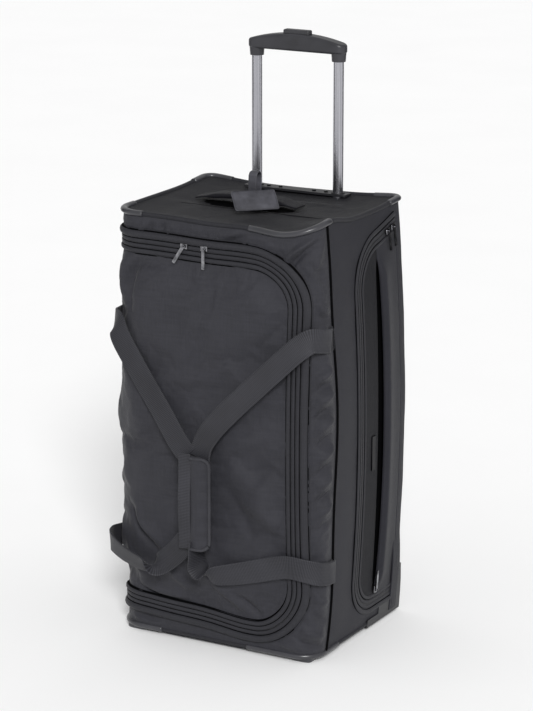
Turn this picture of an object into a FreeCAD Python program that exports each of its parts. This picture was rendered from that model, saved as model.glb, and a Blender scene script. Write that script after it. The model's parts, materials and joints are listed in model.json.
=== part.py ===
import FreeCAD, Part
import math
import os
import re

# A rolling duffel bag standing upright on its wheels. Millimetres, +Z up, +X is the side with the
# door, -Y is the front with the big zip flap. The origin is under the middle of its bounding box.

SIZES = {
    # the bag's shell
    "body_width": 360, "body_depth": 294, "body_height": 700, "back_plane": 174,
    "base_gap": 8, "wall": 4, "side_bow": 18, "front_bow": 18,
    "front_return": 8, "seam_setback": 70, "divider_setback": 120, "divider_thick": 3,
    # trim that lies on the shell
    "piping_proud": 2, "piping_width": 7, "guard_proud": 3, "guard_width": 10, "guard_arm": 58,
    "foot_length": 42, "foot_depth": 30, "foot_setback": 4,
    "zip_proud": 2, "tape_proud": 1.5, "tape_width": 9,
    # front flap and its zip
    "flap_right": 163, "flap_bottom": 50, "flap_top": 656, "flap_radius": 80, "band_width": 28,
    # side door
    "door_front": 4, "door_back": 142, "door_bottom": 45, "door_top_front": 641,
    "door_top_back": 670, "door_low_radius": 62, "door_high_radius": 80, "door_gap": 3,
    "hinge_gap": 1, "slit_place": 74, "slit_middle": 340, "slit_half_height": 280,
    "slit_half_width": 4, "pocket_depth": 26, "pocket_width": 60, "pocket_height": 580,
    "pocket_wall": 2, "plate_place": 46, "plate_middle": 311, "plate_length": 57,
    "plate_width": 12, "plate_thick": 2,
    # telescopic handle
    "tube_spacing": 150, "tube_setback": 20, "inner_radius": 8.5, "inner_wall": 1.2,
    "outer_radius": 10, "slide_clearance": 0.05, "inner_bottom": 590, "inner_top": 932,
    "outer_bottom": 90, "bush_radius": 11, "bush_height": 5, "bezel_width": 188,
    "bezel_depth": 24, "bezel_height": 3.5, "bracket_bottom": 78, "bracket_height": 20,
    "grip_width": 176, "grip_depth": 27, "grip_bottom": 930, "grip_top": 958, "grip_bow": 13,
    "grip_split": 943, "socket_bottom": 918, "socket_low_radius": 11.2,
    "socket_high_radius": 13, "grip_round": 5, "grip_end_round": 12,
    "button_width": 47, "button_depth": 14,
    "button_top": 964, "button_clearance": 0.4, "button_travel": 4, "yoke_depth": 8,
    "yoke_top": 941.5, "yoke_height": 4, "rod_radius": 2, "plug_height": 16,
    "pin_radius": 2, "pin_length": 7, "pin_inset": 0.3, "spring_length": 20, "spring_radius": 4.6,
    "spring_wire": 0.8,
    # wheels and their housings
    "wheel_radius": 35, "wheel_width": 24, "wheel_place": 138, "wheel_setback": 31,
    "rim_radius": 26, "hub_radius": 12, "bearing_radius": 9.5, "bearing_width": 7,
    "axle_radius": 4, "well_clearance": 4, "housing_wall": 3,
    "housing_height": 84, "housing_length": 76, "housing_proud": 3, "housing_arm": 38,
    "housing_round": 10, "housing_side": 190,
    # carrying straps, their wrap, the grab handle and the tag
    "webbing_width": 38, "webbing_thick": 3, "patch_length": 36, "patch_proud": 2,
    "strap_high": 515, "strap_low": 150, "strap_corner": 8, "strap_far": 140,
    "strap_fan": 25, "strap_tip_high": 26, "strap_tip_low": 22, "strap_rise_share": 0.08,
    "strap_lift": 0.5, "strap_corner_gap": 5, "strap_front_gap": 8, "wrap_place": -4,
    "wrap_front": -180,
    "wrap_width": 50, "wrap_depth": 28, "wrap_height": 148, "wrap_bottom": 184,
    "grab_centre": -24, "grab_span": 172, "grab_rise": 11, "grab_width": 36,
    "grab_front": 22, "grab_thick": 4, "tag_width": 72, "tag_height": 42, "tag_thick": 3,
    "tag_turn": 44, "tag_slope": 36, "tag_round": 3, "tag_slot_place": 6, "tag_slot_height": 2.5,
    "tag_side": 5, "tag_ahead": 9, "tag_rise": 28, "loop_place": -2, "loop_width": 16,
    "loop_depth": 18,
    "loop_height": 55, "loop_thick": 2.2, "loop_front": 9,
    # zip sliders and pulls
    "front_slider_left": -46, "front_slider_right": -10, "door_slider_front": 108,
    "door_slider_rear": 126, "pocket_slider_rise": 10, "pocket_run": 90, "slider_length": 13,
    "slider_width": 9, "slider_height": 4, "slider_lift": 1.2, "slider_drop": 1,
    "post_radius": 1.2, "post_height": 8, "pull_length": 33, "pull_width": 5.5,
    "pull_thick": 1.6, "pull_clearance": 0.05, "eye_radius": 3.2,
    # screws
    "screw_radius": 1.5, "screw_length": 6, "head_radius": 3.2, "head_height": 1.8,
    "bezel_screw_step": 22, "bracket_screw_place": 40, "bracket_screw_rise": 6,
    "housing_screw_edge": 12, "housing_screw_low": 24, "housing_screw_high": 66,
}

BIG = 60          # how far cutting shapes run past what they cut
X_AXIS = FreeCAD.Vector(1, 0, 0)
Y_AXIS = FreeCAD.Vector(0, 1, 0)
Z_AXIS = FreeCAD.Vector(0, 0, 1)
TURN_TO = {
    "x": FreeCAD.Rotation(Y_AXIS, 90),
    "y": FreeCAD.Rotation(X_AXIS, -90),
    "z": FreeCAD.Rotation(),
}
SIDES = (("left", -1), ("right", 1))

doc = FreeCAD.newDocument("rolling_duffel")
sheet = doc.addObject("Spreadsheet::Sheet", "Sizes")
nodes = []


def fill_sheet():
    """Write every driving size into the sheet, one row each, and name its cell."""
    for row, (alias, number) in enumerate(SIZES.items(), start=1):
        sheet.set("A%d" % row, alias)
        sheet.set("B%d" % row, str(number))
        sheet.setAlias("B%d" % row, alias)
    doc.recompute()


def linked(formula):
    """Turn plain aliases in a formula into references to the sheet's cells."""
    return re.sub(r"[a-z_]+", lambda word: "Sizes." + word.group() if word.group() in SIZES
                  else word.group(), str(formula))


def size(formula):
    """The value of a formula over the sheet's cells."""
    return float(sheet.evalExpression(linked(formula)))


def bind(thing, **formulas):
    """Bind properties of an object to formulas over the sheet."""
    for name, formula in formulas.items():
        thing.setExpression(name, linked(formula))


def place(thing, x, y, z):
    """Bind an object's position to three formulas."""
    for letter, formula in zip("xyz", (x, y, z)):
        thing.setExpression("Placement.Base." + letter, linked(formula))


def block(x, y, z, length, width, height):
    """A box from its low corner and its three sizes, all formulas."""
    thing = doc.addObject("Part::Box", "Block")
    bind(thing, Length=length, Width=width, Height=height)
    place(thing, x, y, z)
    return thing


def rod(axis, x, y, z, radius, height):
    """A cylinder along a main axis, starting at a point."""
    thing = doc.addObject("Part::Cylinder", "Rod")
    bind(thing, Radius=radius, Height=height)
    thing.Placement.Rotation = TURN_TO[axis]
    place(thing, x, y, z)
    return thing


def cut(base, *tools):
    """A base with one or more tools taken away."""
    thing = doc.addObject("Part::Cut", "Cut")
    thing.Base = base
    thing.Tool = tools[0] if len(tools) == 1 else fuse(*tools)
    return thing


def fuse(*shapes):
    """Shapes joined, or kept side by side where they don't touch."""
    thing = doc.addObject("Part::MultiFuse", "Fuse")
    thing.Shapes = list(shapes)
    return thing


def common(*shapes):
    """What shapes have in common."""
    thing = doc.addObject("Part::MultiCommon", "Common")
    thing.Shapes = list(shapes)
    return thing


def rounded(thing, radius, chosen):
    """A part with the edges rounded for which chosen(edge) is true."""
    doc.recompute()
    result = doc.addObject("Part::Fillet", "Rounded")
    result.Base = thing
    amount = size(radius)
    numbers = [n for n, edge in enumerate(thing.Shape.Edges, start=1) if chosen(edge)]
    result.Edges = [(n, amount, amount) for n in numbers]
    return result


def runs_along(direction):
    """A test for straight edges parallel to a direction."""
    def test(edge):
        if edge.Curve.TypeId != "Part::GeomLine":
            return False
        return edge.tangentAt(edge.FirstParameter).cross(direction).Length < 1e-6
    return test


def feature(shape):
    """An object for a shape that neither primitives nor sketches give."""
    thing = doc.addObject("Part::Feature", "Shape")
    thing.Shape = shape
    thing.Placement = FreeCAD.Placement()
    return thing


def node(name, thing):
    """Name a finished sub-part and keep it for the export."""
    thing.Label = name
    nodes.append(thing)
    return thing


# ---- the envelope of the bag ----

SIDE_RADIUS = "(body_height ^ 2 / 4 + side_bow ^ 2) / (2 * side_bow)"
FRONT_RADIUS = "(body_height ^ 2 / 4 + front_bow ^ 2) / (2 * front_bow)"


def side_surface(height):
    """X of the bowed side at a height."""
    radius = size(SIDE_RADIUS)
    up = height - size("body_height") / 2
    return size("body_width / 2 + side_bow") - radius + math.sqrt(radius ** 2 - up ** 2)


def front_surface(height):
    """Y of the bowed front at a height."""
    radius = size(FRONT_RADIUS)
    up = height - size("body_height") / 2
    return size("back_plane - body_depth - front_bow") + radius - math.sqrt(radius ** 2 - up ** 2)


def envelope(grow, grow_back=None):
    """The bag's outer form grown by an amount: flat back, top and base, bowed sides and front."""
    back = grow if grow_back is None else grow_back
    slab = block("-body_width / 2 - side_bow - (%s)" % grow,
                 "back_plane - body_depth - front_bow - (%s)" % grow,
                 "base_gap - (%s)" % grow,
                 "body_width + 2 * side_bow + 2 * (%s)" % grow,
                 "body_depth + front_bow + (%s) + (%s)" % (grow, back),
                 "body_height - base_gap + 2 * (%s)" % grow)
    start = "back_plane - body_depth - %d" % BIG
    run = "body_depth + %d" % (2 * BIG)
    right = rod("y", "body_width / 2 + side_bow - " + SIDE_RADIUS, start, "body_height / 2",
                SIDE_RADIUS + " + (%s)" % grow, run)
    left = rod("y", "-(body_width / 2 + side_bow - %s)" % SIDE_RADIUS, start, "body_height / 2",
               SIDE_RADIUS + " + (%s)" % grow, run)
    front = rod("x", "-body_width / 2 - %d" % BIG,
                "back_plane - body_depth - front_bow + " + FRONT_RADIUS, "body_height / 2",
                FRONT_RADIUS + " + (%s)" % grow, "body_width + %d" % (2 * BIG))
    return common(slab, right, left, front)


fill_sheet()
outer = envelope("0")
inner = envelope("-wall")
skin = cut(outer, inner)
FLOOR = "base_gap + wall"
CEILING = "body_height - wall"
FRONT_SPLIT = "back_plane - body_depth + front_return"
SEAM = "back_plane - body_depth + seam_setback"
HOUSING_INSIDE = "wheel_place - wheel_width / 2 - well_clearance - 2 * housing_wall"


def right_half(low, high, bottom=FLOOR, top=CEILING, sign=1):
    """A box over one side of the bag, between two depths and two heights."""
    start = "%d" % BIG if sign > 0 else "-body_width"
    return block(start, low, bottom, "body_width - %d" % BIG, "%s - (%s)" % (high, low),
                 "%s - (%s)" % (top, bottom))


def housing_region(sign):
    """The bottom rear corner that a wheel housing fills."""
    start = HOUSING_INSIDE if sign > 0 else "-body_width"
    length = "body_width - (%s)" % HOUSING_INSIDE
    return block(start, "back_plane + housing_proud - housing_length - housing_proud", 0,
                 length, "housing_length + %d" % BIG, "housing_height")


def tube_rods(radius, bottom, height):
    """Two upright cylinders on the lines of the handle's tubes."""
    return [rod("z", "%d * tube_spacing / 2" % sign, "back_plane - tube_setback", bottom,
                radius, height) for _, sign in SIDES]


# ---- shell boards ----

def door_prism(inset, past_back):
    """The side door's outline, drawn in by an amount, as a prism through the right side."""
    front = size("door_front") + inset
    back = size("door_back") + past_back
    bottom = size("door_bottom") + inset
    slope = size("(door_top_back - door_top_front) / (door_back - door_front)")
    top_front = size("door_top_front") - inset + slope * inset
    top_back = size("door_top_front") - inset + slope * (back - size("door_front"))
    x_low = float(BIG)
    corners = [FreeCAD.Vector(x_low, back, bottom), FreeCAD.Vector(x_low, front, bottom),
               FreeCAD.Vector(x_low, front, top_front), FreeCAD.Vector(x_low, back, top_back)]
    prism = Part.Face(Part.makePolygon(corners + corners[:1])).extrude(X_AXIS * size("body_width"))
    for radius, corner in ((size("door_low_radius") - inset, corners[1]),
                           (size("door_high_radius") - inset, corners[2])):
        edges = [edge for edge in prism.Edges
                 if edge.Vertexes[0].Point.distanceToLine(corner, X_AXIS) < 0.01
                 and edge.Vertexes[-1].Point.distanceToLine(corner, X_AXIS) < 0.01]
        prism = prism.makeFillet(radius, edges)
    return feature(prism)


def flap_prism(grow):
    """The front flap's outline grown by an amount, as a prism through the front."""
    slab = block("-body_width", "back_plane - body_depth - %d" % BIG,
                 "flap_bottom - (%s)" % grow, "body_width + flap_right + (%s)" % grow,
                 "%d + front_return" % BIG, "flap_top - flap_bottom + 2 * (%s)" % grow)

    def at_right(edge):
        return runs_along(Y_AXIS)(edge) and edge.Vertexes[0].Point.x > 0
    return rounded(slab, "flap_radius + (%s)" % grow, at_right)


def make_boards():
    """The stiff boards round the rear compartment, the top, the base and the divider."""
    screw_shanks = fuse(*[shank for shank, _ in bezel_screws + bracket_screws])
    slab = block("-body_width", "-body_depth", CEILING, "2 * body_width", "2 * body_depth", "wall")
    tubes = tube_rods("outer_radius", CEILING, "wall")
    node("top_panel", cut(common(skin, slab), screw_shanks, *tubes))
    regions = [housing_region(sign) for _, sign in SIDES]
    slab = block("-body_width", "-body_depth", "base_gap", "2 * body_width", "2 * body_depth",
                 "wall")
    node("bottom_board", cut(common(skin, slab), *regions))
    slab = block("-body_width", "back_plane - wall", FLOOR, "2 * body_width", "wall",
                 "body_height - base_gap - 2 * wall")
    node("back_board", cut(common(skin, slab), screw_shanks, *regions))
    node("left_side_board", cut(common(skin, right_half(SEAM, "back_plane - wall", sign=-1)),
                                regions[0]))
    node("right_side_board", cut(common(skin, right_half(SEAM, "back_plane - wall")),
                                 regions[1], door_prism(0, 0)))
    divider = block("-body_width", "back_plane - body_depth + divider_setback", FLOOR,
                    "2 * body_width", "divider_thick", "body_height - base_gap - 2 * wall")
    node("divider_panel", common(inner, divider))


def make_soft_front():
    """The soft side gussets, the front flap, what surrounds it and the zip band on both."""
    for name, sign in SIDES:
        node(name + "_gusset", common(skin, right_half(FRONT_SPLIT, SEAM, sign=sign)))
    tray = common(skin, block("-body_width", "-body_depth", FLOOR, "2 * body_width",
                              "body_depth + (%s)" % FRONT_SPLIT,
                              "body_height - base_gap - 2 * wall"))
    node("front_surround", cut(tray, flap_prism("0")))
    node("front_flap", common(tray, flap_prism("0")))
    band = cut(flap_prism("band_width / 2"), flap_prism("-band_width / 2"))
    node("front_zip", common(cut(envelope("zip_proud"), outer), band))


# ---- piping, guards ----

def edge_frame(width, proud):
    """A frame that follows the bag's top and base edges, lying on the shell."""
    layer = cut(envelope(proud), outer)
    hollow = block("-body_width / 2 + (%s)" % width,
                   "back_plane - body_depth + (%s)" % width, -BIG,
                   "body_width - 2 * (%s)" % width, "body_depth - 2 * (%s)" % width,
                   "body_height + %d" % (2 * BIG))
    waist = block("-body_width", "-body_depth", "base_gap + (%s)" % width, "2 * body_width",
                  "2 * body_depth", "body_height - base_gap - 2 * (%s)" % width)
    return cut(layer, hollow, waist)


def corner_box(x_sign, y_sign, low, high):
    """A box over one corner of the bag, as long as a guard's arm."""
    x = "body_width / 2 - guard_arm" if x_sign > 0 else "-body_width"
    y = "back_plane - guard_arm" if y_sign > 0 else "-body_depth"
    depth = "body_depth" if y_sign > 0 else "body_depth + back_plane - body_depth + guard_arm"
    return block(x, y, low, "body_width / 2 + guard_arm", depth, "%s - (%s)" % (high, low))


def make_edges():
    """Moulded corner guards with the front feet, and the piping between them."""
    guards = edge_frame("guard_width", "guard_proud")
    top_boxes = [corner_box(x, y, "body_height / 2", "body_height + %d" % BIG)
                 for x in (-1, 1) for y in (-1, 1)]
    low_boxes = [corner_box(x, -1, -BIG, "body_height / 2") for x in (-1, 1)]
    node("top_corner_guards", common(guards, fuse(*top_boxes)))
    feet = [block("%d * (body_width / 2 - guard_arm / 2) - foot_length / 2" % sign,
                  "back_plane - body_depth + foot_setback", 0, "foot_length", "foot_depth",
                  "base_gap")
            for _, sign in SIDES]
    shoes = fuse(common(guards, fuse(*low_boxes)), cut(fuse(*feet), outer))
    node("bottom_corner_guards", shoes)
    arms = [housing_arm_box(sign) for _, sign in SIDES]
    regions = [housing_region(sign) for _, sign in SIDES]
    piping = edge_frame("piping_width", "piping_proud")
    node("edge_piping", cut(piping, *(top_boxes + low_boxes + arms + regions)))


# ---- wheels ----

WHEEL_Y = "back_plane - wheel_setback"


def housing_arm_box(sign):
    """The stretch of base edge in front of a wheel housing that its arm covers."""
    start = "body_width / 2 - guard_width" if sign > 0 else "-body_width"
    return block(start, "back_plane - housing_length - housing_arm", 0,
                 "body_width / 2 + guard_width", "housing_arm", "base_gap + guard_width")


def make_housing(name, sign):
    """A moulded housing: outer walls at the bag's corner and a well round the wheel."""
    form = envelope("guard_proud", "housing_proud")
    plan = block("-housing_side", "-housing_side", 0, "2 * housing_side",
                 "housing_side + back_plane + housing_proud", "housing_height")
    outside = common(form, housing_region(sign),
                     rounded(plan, "housing_round", runs_along(Z_AXIS)))
    well_x = "%d * wheel_place - wheel_width / 2 - well_clearance" % sign
    well_width = "wheel_width + 2 * well_clearance"
    front = "back_plane - wheel_setback - wheel_radius - well_clearance"
    well = block(well_x, front, -1, well_width, "2 * wheel_radius + %d" % BIG,
                 "2 * wheel_radius + well_clearance + 1")
    jacket = block(well_x + " - housing_wall", front + " - housing_wall", 0,
                   well_width + " + 2 * housing_wall", "2 * wheel_radius + %d" % BIG,
                   "2 * wheel_radius + well_clearance + housing_wall")
    hollow = common(inner, block("-body_width", "-body_depth", "base_gap + wall",
                                 "2 * body_width", "body_depth + back_plane - wall",
                                 "body_height"))
    axle_hole = rod("x", "%d * wheel_place - wheel_width" % sign, WHEEL_Y, "wheel_radius",
                    "axle_radius", "2 * wheel_width")
    arm = common(edge_frame("guard_width", "guard_proud"), housing_arm_box(sign))
    walls = fuse(cut(outside, hollow), common(outside, jacket), arm)
    tools = [well, axle_hole] + [shank for shank, _ in housing_screws]
    if sign > 0:
        tools.append(cut(door_prism(-size("tape_width + door_gap"), size("hinge_gap")),
                         envelope("-wall - door_gap")))
    node(name, cut(walls, *tools))


def make_wheel(name, sign):
    """Tyre, rim with its hub, and the two bearings pressed into the hub."""
    left = "%d * wheel_place - wheel_width / 2" % sign
    tread = rounded(rod("x", left, WHEEL_Y, "wheel_radius", "wheel_radius", "wheel_width"),
                    "wheel_width / 4", lambda edge: edge.Length > size("wheel_radius") * 3)
    core = rod("x", left, WHEEL_Y, "wheel_radius", "rim_radius", "wheel_width")
    node("tyre_" + name, cut(tread, core))
    disc = rod("x", left, WHEEL_Y, "wheel_radius", "rim_radius", "wheel_width")
    recesses = []
    seats = []
    for start in (left, left + " + wheel_width - bearing_width"):
        dish = rod("x", start, WHEEL_Y, "wheel_radius", "rim_radius - 3", "bearing_width")
        boss = rod("x", start, WHEEL_Y, "wheel_radius", "hub_radius", "bearing_width")
        recesses.append(cut(dish, boss))
        seats.append(rod("x", start, WHEEL_Y, "wheel_radius", "bearing_radius",
                         "bearing_width"))
    bore = rod("x", left, WHEEL_Y, "wheel_radius", "axle_radius + 1", "wheel_width")
    node("rim_" + name, cut(disc, bore, *(recesses + seats)))
    races = [cut(rod("x", start, WHEEL_Y, "wheel_radius", "bearing_radius", "bearing_width"),
                 rod("x", start, WHEEL_Y, "wheel_radius", "axle_radius + slide_clearance",
                     "bearing_width"))
             for start in (left, left + " + wheel_width - bearing_width")]
    node("bearings_" + name, fuse(*races))


def make_axles():
    """One headed axle through each wheel housing."""
    axles = []
    for _, sign in SIDES:
        start = "%d * wheel_place - wheel_width / 2 - well_clearance - housing_wall" % sign
        run = "wheel_width + 2 * well_clearance + 2 * housing_wall"
        axles.append(rod("x", start, WHEEL_Y, "wheel_radius", "axle_radius", run))
    node("wheel_axles", fuse(*axles))


# ---- screws ----

def screw(axis, x, y, z, inwards):
    """A screw's shank, and its head on the outside, with the axis pointing outwards."""
    shift = "%s - screw_length"
    places = {"x": (shift % x, y, z), "y": (x, shift % y, z), "z": (x, y, shift % z)}
    shank = rod(axis, *places[axis], "screw_radius", "screw_length + " + str(inwards))
    heads = {"x": ("%s + %s" % (x, inwards), y, z), "y": (x, "%s + %s" % (y, inwards), z),
             "z": (x, y, "%s + %s" % (z, inwards))}
    head = rod(axis, *heads[axis], "head_radius", "head_height")
    return shank, head


bezel_screws = [screw("z", "%d * tube_spacing / 2 - %d * bezel_screw_step" % (sign, sign * step),
                      "back_plane - tube_setback", "body_height", "bezel_height")
                for _, sign in SIDES for step in (1, 2)]
bracket_screws = [screw("y", "%d * bracket_screw_place" % sign, "back_plane",
                        "bracket_bottom + bracket_screw_rise", "0")
                  for _, sign in SIDES]
housing_screws = [screw("y", "%d * (body_width / 2 - housing_screw_edge)" % sign,
                        "back_plane + housing_proud", height, "0") for _, sign in SIDES
                  for height in ("housing_screw_low", "housing_screw_high")]


def make_screws():
    """The screws of the bezel, the tube bracket and the wheel housings."""
    bodies = [fuse(shank, head) for shank, head in bezel_screws + bracket_screws
              + housing_screws]
    node("case_screws", fuse(*bodies))


# ---- telescopic handle ----

HANDLE_Y = "back_plane - tube_setback"


def make_tube_fixtures():
    """Outer tubes fixed in the bag, their foot bracket, top bushes and the bezel."""
    bores = tube_rods("inner_radius + slide_clearance", "outer_bottom",
                      "body_height - outer_bottom + bush_height")
    walls = tube_rods("outer_radius", "outer_bottom", "body_height - outer_bottom")
    node("outer_tubes", cut(fuse(*walls), *bores))
    rings = tube_rods("bush_radius", "body_height", "bush_height")
    node("tube_bushes", cut(fuse(*rings), *bores))
    plate = block("-bezel_width / 2", HANDLE_Y + " - bezel_depth / 2", "body_height",
                  "bezel_width", "bezel_depth", "bezel_height")
    shanks = [shank for shank, _ in bezel_screws]
    soft_corners = rounded(plate, "4", runs_along(Z_AXIS))
    node("handle_bezel", cut(soft_corners, *(rings + shanks)))
    bar = block("-bezel_width / 2", HANDLE_Y + " - outer_radius", "bracket_bottom",
                "bezel_width", "outer_radius + tube_setback - wall", "bracket_height")
    node("tube_bracket", cut(bar, *(walls + [shank for shank, _ in bracket_screws])))


def make_inner_tubes():
    """The two sliding tubes, each with a hole for its lock pin, and their end plugs."""
    pin_height = "inner_bottom + 10"
    plugs = []
    for name, sign in SIDES:
        x = "%d * tube_spacing / 2" % sign
        wall = rod("z", x, HANDLE_Y, "inner_bottom", "inner_radius", "inner_top - inner_bottom")
        bore = rod("z", x, HANDLE_Y, "inner_bottom", "inner_radius - inner_wall",
                   "inner_top - inner_bottom")
        start = x if sign > 0 else x + " - inner_radius - 1"
        pin_hole = rod("x", start, HANDLE_Y, pin_height, "pin_radius + slide_clearance",
                       "inner_radius + 1")
        node("inner_tube_" + name, cut(wall, bore, pin_hole))
        body = rod("z", x, HANDLE_Y, "inner_bottom", "inner_radius - inner_wall", "plug_height")
        rod_hole = rod("z", x, HANDLE_Y, pin_height, "rod_radius + 0.3", "plug_height")
        cross = rod("x", x + " - 4" if sign > 0 else x + " - inner_radius - 1", HANDLE_Y,
                    pin_height, "pin_radius + slide_clearance", "inner_radius + 5")
        plugs.append(cut(body, rod_hole, cross))
        tip = "%d * (tube_spacing / 2 + inner_radius - pin_inset)" % sign
        low = tip + " - pin_length" if sign > 0 else tip
        node("lock_pin_" + name, rod("x", low, HANDLE_Y, pin_height, "pin_radius",
                                     "pin_length"))
    node("tube_end_plugs", fuse(*plugs))


def make_grip():
    """The two halves of the grip: a bowed bar with a thick socket on each tube."""
    bar = block("-grip_width / 2", HANDLE_Y + " - grip_depth / 2", "grip_bottom", "grip_width",
                "grip_depth", "grip_top - grip_bottom")
    bar = rounded(bar, "grip_end_round", runs_along(Z_AXIS))
    bow = "((grip_width / 2) ^ 2 + grip_bow ^ 2) / (2 * grip_bow)"
    crown = rod("y", 0, HANDLE_Y + " - grip_depth", "grip_top - " + bow, bow, "2 * grip_depth")
    bar = rounded(common(bar, crown), "grip_round", lambda edge: not runs_along(Z_AXIS)(edge))
    sockets = []
    for _, sign in SIDES:
        cone = doc.addObject("Part::Cone", "Socket")
        bind(cone, Radius1="socket_low_radius", Radius2="socket_high_radius",
             Height="grip_split - socket_bottom - 2")
        place(cone, "%d * tube_spacing / 2" % sign, HANDLE_Y, "socket_bottom")
        sockets.append(cone)
    split = block("-grip_width", "0", "grip_split", "2 * grip_width", "2 * back_plane",
                  "grip_width")
    tubes = tube_rods("inner_radius", "socket_bottom - 1", "inner_top - socket_bottom + 1")
    cavity = block("-tube_spacing / 2 - 5", HANDLE_Y + " - yoke_depth / 2 - 1",
                   "yoke_top - yoke_height - button_travel - 1", "tube_spacing + 10",
                   "yoke_depth + 2", "grip_split - yoke_top + yoke_height + button_travel + 1")
    rods = tube_rods("rod_radius + 0.5", "inner_top - 1", "4")
    window = block("-button_width / 2 - button_clearance",
                   HANDLE_Y + " - button_depth / 2 - button_clearance",
                   "yoke_top - button_travel - 0.5", "button_width + 2 * button_clearance",
                   "button_depth + 2 * button_clearance", "grip_width")
    node("grip_lower", cut(fuse(cut(bar, split), *sockets), cavity, window, *(tubes + rods)))
    node("grip_upper", cut(common(bar, split), window))


def make_release():
    """The push button, the yoke with its two long rods, and the return springs."""
    body = block("-button_width / 2", HANDLE_Y + " - button_depth / 2", "yoke_top",
                 "button_width", "button_depth", "button_top - yoke_top")
    node("push_button", rounded(body, "2.5", lambda edge: edge.BoundBox.ZMin
                                > size("button_top") - 0.01 or runs_along(Z_AXIS)(edge)))
    bar = block("-tube_spacing / 2 - 4", HANDLE_Y + " - yoke_depth / 2", "yoke_top - yoke_height",
                "tube_spacing + 8", "yoke_depth", "yoke_height")
    bottom = "inner_bottom + plug_height + 1"
    rods = tube_rods("rod_radius", bottom, "yoke_top - yoke_height - (%s)" % bottom)
    collars = tube_rods("spring_radius", "inner_bottom + plug_height + spring_length", "2")
    node("push_yoke", fuse(bar, *(rods + collars)))
    springs = []
    for _, sign in SIDES:
        springs.append(spring(size("%d * tube_spacing / 2" % sign), size(HANDLE_Y),
                              size("inner_bottom + plug_height")))
    node("return_springs", feature(Part.makeCompound(springs)))


def spring(x, y, bottom):
    """An open coil spring standing at a point."""
    wire = size("spring_wire") / 2
    radius = size("spring_radius") - wire
    length = size("spring_length") - 2 * wire - 0.4
    helix = Part.makeHelix(length / 5, length, radius)
    start = FreeCAD.Vector(radius, 0, 0)
    section = Part.Wire(Part.makeCircle(wire, start, Y_AXIS))
    coil = Part.Wire(helix).makePipeShell([section], True, True)
    coil.translate(FreeCAD.Vector(x, y, bottom + wire + 0.2))
    return coil


# ---- side door ----

def make_door():
    """The door panel with its pocket slit, the pocket behind it, zip tapes and nameplate."""
    gap = size("door_gap")
    tape = size("tape_width")
    latch = door_prism(gap, -size("hinge_gap"))
    lens = "(slit_half_height ^ 2 + slit_half_width ^ 2) / (2 * slit_half_width)"
    slit = common(*[rod("x", BIG, "slit_place + %d * (%s - slit_half_width)" % (sign, lens),
                        "slit_middle", lens, "body_width") for sign in (-1, 1)])
    node("door_panel", cut(common(skin, latch), slit))
    pocket = block("body_width / 2 + side_bow - pocket_depth - wall",
                   "slit_place - pocket_width / 2", "slit_middle - pocket_height / 2",
                   "body_width", "pocket_width", "pocket_height")
    space = block("body_width / 2 + side_bow - pocket_depth - wall + pocket_wall",
                  "slit_place - pocket_width / 2 + pocket_wall",
                  "slit_middle - pocket_height / 2 + pocket_wall", "body_width",
                  "pocket_width - 2 * pocket_wall", "pocket_height - 2 * pocket_wall")
    node("pocket_liner", cut(common(inner, pocket), space))
    layer = cut(envelope("tape_proud"), outer)
    fixed = cut(door_prism(-tape, 0), door_prism(0, 0))
    node("door_zip_outer", common(layer, fixed))
    moving = cut(latch, door_prism(gap + tape, 0))
    node("door_zip_inner", common(layer, moving))
    far = side_surface(size("plate_middle + plate_length / 2")) + 0.05
    plate = block(far, "plate_place - plate_width / 2", "plate_middle - plate_length / 2",
                  "plate_thick", "plate_width", "plate_length")
    node("nameplate", rounded(plate, "0.8", lambda edge: edge.BoundBox.XMin > far + 1))


# ---- zip sliders and pulls ----

def slider_and_pull(slider_name, pull_name, position, along, out, hang):
    """A zip slider on the surface with a post, and a pull whose eye turns on that post."""
    base = block("-slider_length / 2", "-slider_width / 2", "slider_lift", "slider_length",
                 "slider_width", "slider_height")
    soft = rounded(base, "1.4", lambda edge: edge.BoundBox.ZMin > 1 and edge.Length > 1)
    post = rod("z", "0", "0", "slider_lift", "post_radius", "post_height")
    slider = fuse(soft, post)
    turn = FreeCAD.Rotation(along, out.cross(along), out, "ZXY")
    slider.Placement = FreeCAD.Placement(position, turn)
    node(slider_name, slider)
    level = "slider_lift + slider_height + 0.4"
    eye = rod("z", "0", "0", level, "eye_radius", "pull_thick")
    bar = block("0", "-pull_width / 2", level, "pull_length", "pull_width", "pull_thick")
    tab = rounded(bar, "1.2", lambda edge: runs_along(Z_AXIS)(edge)
                  and edge.BoundBox.XMin > 1)
    hole = rod("z", "0", "0", level, "post_radius + pull_clearance", "pull_thick")
    pull = cut(fuse(eye, tab), hole)
    turn = FreeCAD.Rotation(hang, out.cross(hang), out, "ZXY")
    pull.Placement = FreeCAD.Placement(position, turn)
    node(pull_name, pull)


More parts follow.
